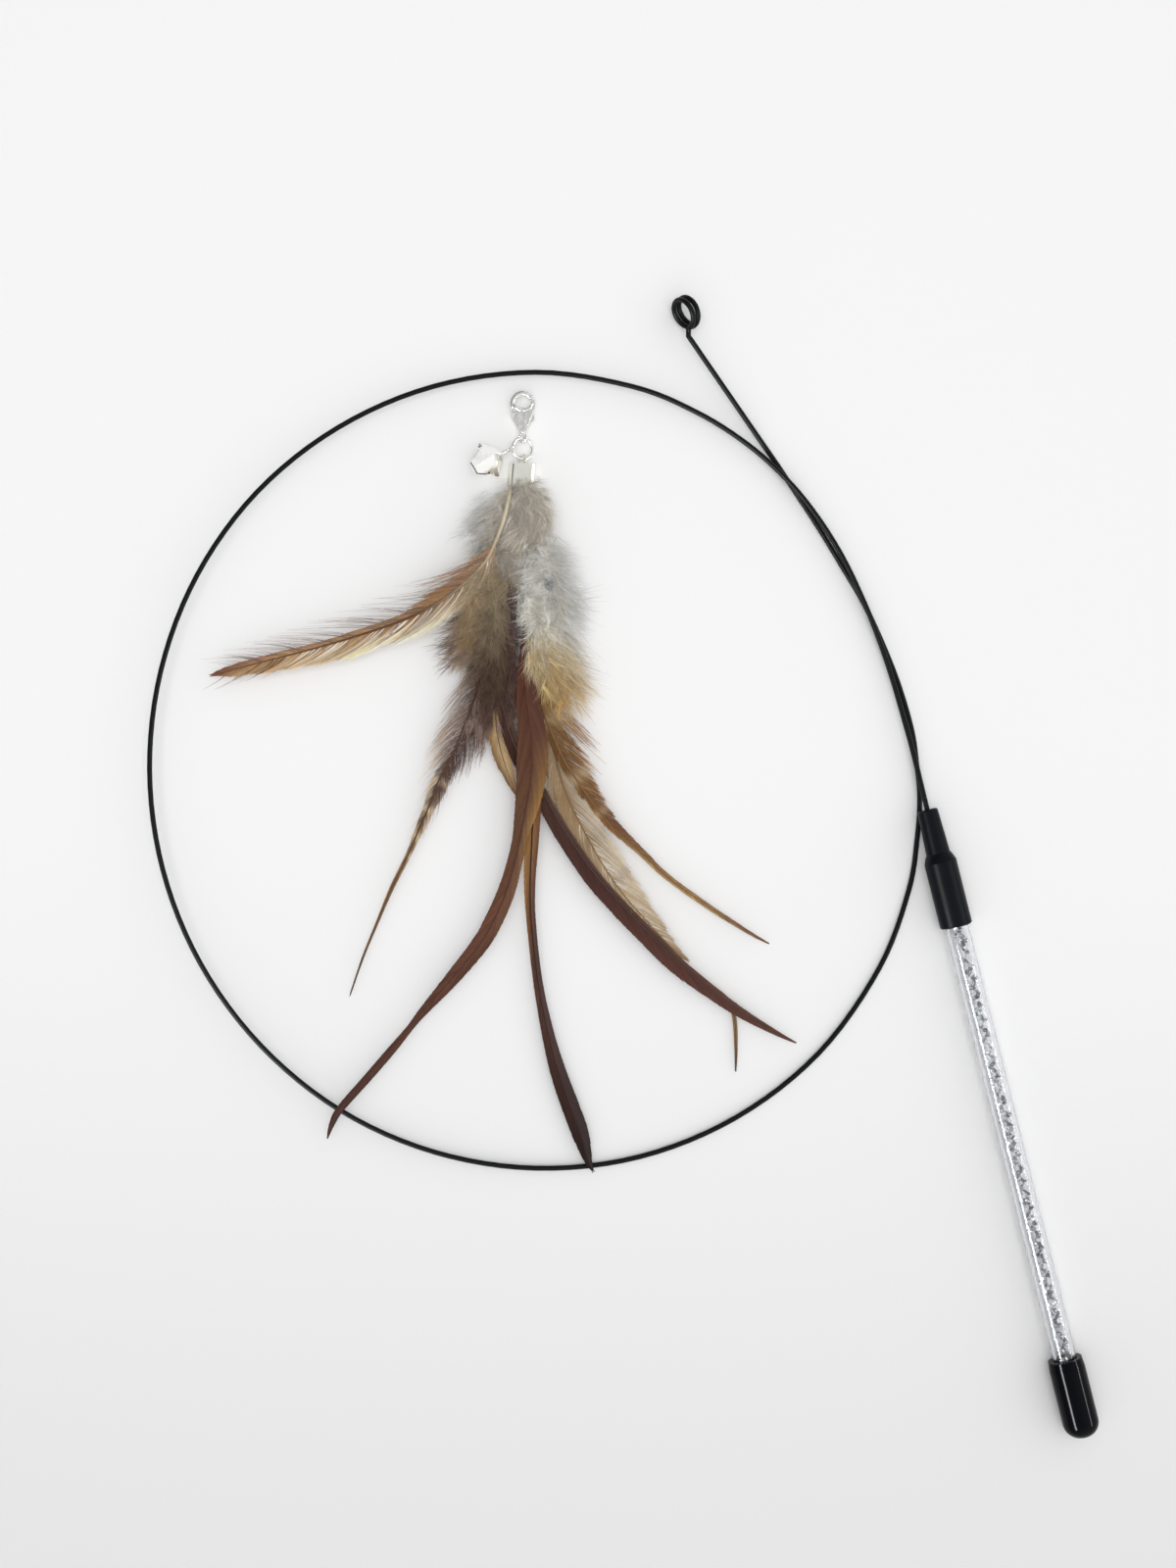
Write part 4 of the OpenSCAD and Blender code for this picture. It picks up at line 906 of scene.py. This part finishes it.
right = [
    # Smoky barbs that stand out to the right, thin enough to see through
    ([(553, 556, 6), (566, 590, 7), (572, 625, 7), (574, 660, 6)], 2400, 10, SMOKE,
     dict(spread=(35, 75), rise=(-10, 8), sides=RIGHT, wild=0.18, scatter=1.4, fade=0.7)),
    ([(548, 556, 7), (558, 590, 8.2), (562, 630, 8.2), (562, 670, 7.4)], 3600, 7,
     ((166, 161, 150), (188, 184, 174), (196, 188, 168), (210, 202, 183)),
     dict(spread=(15, 70), scatter=1.6, fade=0.7)),
    # The dark blue grey spot
    ([(554, 588, 9.2), (558, 598, 9.4), (560, 608, 9.2)], 500, 4,
     ((86, 92, 98), (108, 113, 117), (100, 104, 108), (124, 127, 129)),
     dict(spread=(10, 60), sides=RIGHT, scatter=0.6, fade=0.8)),
    # Bright curls, then cream that turns to gold
    ([(538, 606, 9), (545, 622, 9.8), (551, 640, 9.6), (553, 660, 9)], 2600, 6,
     ((212, 206, 190), (232, 227, 214), (198, 184, 152), (212, 199, 170)),
     dict(spread=(10, 85), wild=0.6, thin=0.075, scatter=1.4, fade=0.6, glow=0.24)),
    ([(546, 650, 8.6), (555, 674, 8.4), (563, 696, 7.6), (570, 716, 6.6)], 3400, 8.5,
     ((184, 162, 120), (196, 175, 134), (144, 100, 48), (160, 117, 62)),
     dict(spread=(0, 45), rise=(-8, 8), wild=0.2, scatter=1.5, fade=0.35, glow=0.2)),
    ([(560, 650, 6.6), (574, 684, 6.4), (584, 712, 5.8)], 1300, 11,
     ((190, 172, 136), (206, 191, 158), (158, 118, 70), (178, 140, 92)),
     dict(spread=(10, 50), rise=(-8, 6), sides=RIGHT, wild=0.15, scatter=1.6, fade=0.6, wisp=6,
          glow=0.2)),
    # Single long hairs
    ([(566, 600, 7), (576, 650, 7), (584, 706, 6)], 190, 16,
     ((118, 112, 106), (126, 120, 112), (150, 126, 98), (140, 116, 90)),
     dict(spread=(35, 80), rise=(-4, 10), sides=RIGHT, thin=0.06, wild=0.1, fade=0.9)),
]
tuft("right_down", "down_right", right, 200)

left = [
    # Olive brown fluff, warmer at its left and darker below
    ([(508, 572, 5.6), (494, 600, 7.4), (486, 632, 7.6), (482, 664, 6.6)], 4600, 7,
     ((148, 127, 96), (160, 140, 109), (96, 69, 43), (112, 86, 59)),
     dict(spread=(10, 70), sides=(1, 1, -1), scatter=1.6, fade=0.6, glow=0.2)),
    ([(514, 580, 6.8), (506, 620, 8.4), (500, 660, 8.4), (496, 700, 7.4)], 4800, 7,
     ((138, 118, 87), (150, 130, 100), (40, 26, 18), (56, 38, 27)),
     dict(spread=(5, 60), scatter=1.7, fade=0.6, glow=0.2)),
    ([(506, 660, 7.6), (502, 690, 7.6), (498, 716, 6.6), (494, 738, 5.4)], 2600, 7,
     ((50, 34, 26), (66, 48, 36), (46, 32, 27), (72, 54, 46)),
     dict(spread=(0, 35), wild=0.2, scatter=1.3, fade=0.25, glow=0.2)),
    # Plum shade beside the middle
    ([(520, 592, 7.4), (522, 620, 8.2), (524, 646, 7.6)], 900, 4.5,
     ((52, 38, 38), (66, 50, 50), (58, 44, 44), (74, 58, 56)),
     dict(spread=(0, 60), scatter=0.8, fade=0.8)),
    ([(521, 660, 5.6), (523, 698, 5.6), (523, 736, 4.8)], 1500, 4.5,
     ((60, 42, 38), (76, 56, 50), (62, 44, 38), (78, 58, 50)),
     dict(spread=(0, 40), scatter=0.7, fade=0.8)),
    # Pinkish barbs and dark curved tips at the left edge
    ([(484, 622, 5), (474, 650, 5.4), (468, 680, 4.8)], 620, 7,
     ((122, 96, 72), (138, 112, 90), (108, 86, 70), (128, 106, 92)),
     dict(spread=(15, 65), rise=(-8, 6), sides=LEFT, wild=0.18, scatter=1.6, fade=0.7, wisp=6, glow=0.2)),
    ([(480, 622, 5), (470, 644, 5.2), (464, 672, 4.6)], 150, 9.5,
     ((84, 68, 60), (52, 41, 42), (78, 62, 58), (52, 41, 42)),
     dict(spread=(30, 78), rise=(-4, 6), sides=LEFT, thin=0.12, wild=0.16, wisp=2, fade=0.95)),
    # Ragged barbs that hang down between the feathers
    ([(492, 712, 5), (488, 736, 4.8), (486, 756, 4.2)], 420, 9,
     ((112, 90, 80), (92, 70, 62), (116, 94, 86), (90, 70, 62)),
     dict(spread=(0, 22), rise=(-8, 2), wild=0.1, thin=0.1, scatter=2.4, fade=0.6)),
]
tuft("left_down", "down_left", left, 300)

under = [
    ([(527, 520, 2.6), (523, 590, 3), (521, 650, 3), (520, 720, 2.6)], 2200, 6,
     ((76, 56, 52), (88, 68, 62), (64, 45, 42), (80, 60, 54)),
     dict(spread=(0, 50), rise=(-10, 5), scatter=1.6)),
    ([(547, 560, 2.6), (560, 610, 3), (568, 660, 3), (572, 700, 2.4)], 1500, 10, SMOKE,
     dict(spread=(30, 75), rise=(-10, 5), sides=RIGHT, wild=0.2, scatter=1.4)),
    ([(507, 566, 2.6), (492, 610, 3), (484, 660, 3), (480, 706, 2.2)], 1700, 8,
     ((140, 122, 98), (150, 132, 108), (128, 108, 92), (138, 118, 102)),
     dict(spread=(20, 65), rise=(-10, 5), sides=LEFT, wild=0.2, scatter=1.4)),
]
tuft("under_down", "down_under", under, 400)


# The tinsel in the tube

HANDLE_START = MOUTH - ORIGIN
HANDLE_SIDE = np.cross(HANDLE_WAY, UP)
# Where the foil starts and ends along the handle, a fold's length, and the bore it keeps to
FOIL_START, FOIL_END, FOLD, BORE_R = 25.5, 169, 3.7, 2.1


def in_bore(path):
    """Draws points that lie too far out back to the tube's bore."""
    along = ((path - HANDLE_START) @ HANDLE_WAY)[..., None]
    radial = path - (HANDLE_START + HANDLE_WAY * along)
    far = np.linalg.norm(radial, axis=-1, keepdims=True)
    return path - radial * np.maximum(1 - BORE_R / np.maximum(far, 1e-6), 0)


def flakes(parts, local, count, middle, wander, size, levels):
    """Small bits of foil that follow the folds, each of one grey level."""
    along = np.sort(local.uniform(FOIL_START, FOIL_END, count))
    zigzag = np.sin(along * 2 * math.pi / FOLD) * wander
    centre = HANDLE_START + HANDLE_WAY * along[:, None]
    centre = centre + HANDLE_SIDE * (middle + zigzag + local.normal(0, 0.25, count))[:, None]
    centre = centre + UP * local.uniform(-0.6, 1.1, (count, 1))
    out = HANDLE_SIDE * local.normal(0, 1, (count, 1)) + HANDLE_WAY * local.normal(0, 1, (count, 1))
    out = unit(out + UP * local.normal(0, 0.5, (count, 1)))
    reach = local.uniform(*size, (count, 1, 1))
    path = centre[:, None] + out[:, None] * reach * np.linspace(-0.5, 0.5, 3)[None, :, None]
    path = in_bore(path + local.normal(0, 0.12, (count, 3, 3)))
    wide = local.uniform(0.35, 0.8, (count, 1)) * reach[..., 0]
    across = unit(np.cross(out, unit(local.normal(0, 0.6, (count, 3)) + UP)))[:, None]
    tone = local.choice(levels, count)[:, None, None]
    parts.ribbons(
        path, np.broadcast_to(wide, path.shape[:2]), np.broadcast_to(across, path.shape),
        np.broadcast_to(tone, path.shape),
    )


def tinsel():
    """A crumpled foil strip, folded to and fro, with small bright flakes beside it."""
    local = np.random.default_rng(7)
    parts = Parts()
    flakes(
        parts, local, 640, middle=-0.55, wander=0.6, size=(0.7, 1.3),
        levels=(0.16, 0.24, 0.34, 0.46, 0.6),
    )
    flakes(parts, local, 420, middle=0.8, wander=0.4, size=(0.4, 0.8), levels=(0.4, 0.7, 0.9, 1.0))
    thread = np.linspace(FOIL_START, FOIL_END, 160)
    sway = -0.45 + 0.5 * np.sin(thread * 2 * math.pi / FOLD)
    core = HANDLE_START + HANDLE_WAY * thread[:, None] + HANDLE_SIDE * sway[:, None]
    parts.tube(in_bore(core), 0.14, 0.3, sides=6)
    return parts.mesh("tinsel_foil", foil_look, smooth=False)


hang(tinsel(), "wand", "tinsel_ribbon")


# Floor, lights and camera

bpy.ops.mesh.primitive_plane_add(size=6, location=(0, 0, -0.0002))
floor = bpy.context.object
floor.name = "floor"


def pale_floor_with_painted_shade():
    """A matt floor whose colour darkens a little towards the bottom of the view: painted shade for the
    light's fall-off.
    """
    look = grain(material("pale_floor_with_painted_shade", (246, 246, 246), 0.75, Specular_IOR_Level=0), 3, tone=0.006)
    tree = look.node_tree
    place = tree.nodes.new("ShaderNodeTexCoord")
    parted = tree.nodes.new("ShaderNodeSeparateXYZ")
    tree.links.new(place.outputs["Object"], parted.inputs["Vector"])
    # Painted shade: the base colour darkens towards -y, standing in for light that falls off
    level = mapped(
        tree, parted.outputs["Y"], "SMOOTHSTEP", From_Min=-0.22, From_Max=0.04, To_Min=0.853, To_Max=1,
    )
    times(tree, tree.nodes["Principled BSDF"].inputs["Base Color"], level)
    return look


floor.data.materials.append(pale_floor_with_painted_shade())


def greys(tree, value, levels):
    """The colour output of a ramp of greys, from rows of (place, level)."""
    ramp = tree.nodes.new("ShaderNodeValToRGB")
    stops = ramp.color_ramp.elements
    for stop, (place, level) in zip(stops, (levels[0], levels[-1])):
        stop.position, stop.color = place, (level, level, level, 1)
    for place, level in levels[1:-1]:
        stops.new(place).color = (level, level, level, 1)
    tree.links.new(value, ramp.inputs["Fac"])
    return ramp.outputs["Color"]


def studio():
    """A room that is bright at the sides and dimmer overhead, where the camera is."""
    world = bpy.data.worlds.new("studio")
    world.use_nodes = True
    tree = world.node_tree
    sky = tree.nodes["Background"]
    sky.inputs["Strength"].default_value = 0.72
    way = tree.nodes.new("ShaderNodeTexCoord").outputs["Generated"]
    parted = tree.nodes.new("ShaderNodeSeparateXYZ")
    tree.links.new(way, parted.inputs["Vector"])
    # Levels by how steeply a ray goes up
    heights = ((0.0, 0.7), (0.3, 1.0), (0.6, 1.06), (0.85, 1.0), (0.95, 0.86), (1.0, 0.84))
    tree.links.new(greys(tree, parted.outputs["Z"], heights), sky.inputs["Color"])
    # One side of the room has the windows, and the far side is darker
    toward = tree.nodes.new("ShaderNodeVectorMath")
    toward.operation = "DOT_PRODUCT"
    toward.inputs[1].default_value = (-0.87, 0.5, 0)
    tree.links.new(way, toward.inputs[0])
    share = mapped(tree, toward.outputs["Value"], From_Min=-1)
    sides = ((0.1, 1.5), (0.3, 1.3), (0.5, 1.0), (0.62, 0.94), (0.9, 0.32))
    times(tree, sky.inputs["Color"], greys(tree, share, sides))
    return world


bpy.context.scene.world = studio()


def softbox(name, place, aim, size, power):
    """A rectangular lamp at a place in metres, turned towards aim."""
    light = bpy.data.lights.new(name, "AREA")
    light.shape = "RECTANGLE"
    light.size, light.size_y = size
    light.energy = power
    ob = bpy.data.objects.new(name, light)
    bpy.context.collection.objects.link(ob)
    ob.location = place
    back = np.array(place) - np.array(aim)
    yaw = math.atan2(back[0], -back[1])
    pitch = math.acos(back[2] / np.linalg.norm(back))
    ob.rotation_euler = (pitch, 0, yaw)
    return ob


# A wide lamp above, which metal doesn't mirror
overhead = softbox("overhead", (0, 0, 1.4), aim=(0, 0, 0), size=(0.9, 0.9), power=6.75)
overhead.visible_glossy = False
# Two long thin lamps beside the handle, which only put streaks of gloss on it
for strip in (
    softbox("strip_left", (-0.62, -0.72, 0.78), aim=(0.204, -0.511, 0), size=(0.75, 0.2), power=22),
    softbox("strip_right", (1.03, -0.17, 0.5), aim=(0.17, -0.386, 0), size=(0.5, 0.05), power=2.8),
):
    strip.visible_diffuse = False


def camera():
    """Looks straight down, with the photograph's height as the longer side."""
    lens = bpy.data.cameras.new("camera")
    lens.sensor_width = 36
    lens.lens = lens.sensor_width * CAMERA[2] / (PIXEL * 2 * MIDDLE[1])
    lens.clip_start = 0.01
    ob = bpy.data.objects.new("camera", lens)
    bpy.context.collection.objects.link(ob)
    ob.location = [c * MM for c in CAMERA]
    return ob


bpy.context.scene.camera = camera()
bpy.context.scene.view_settings.view_transform = "Standard"
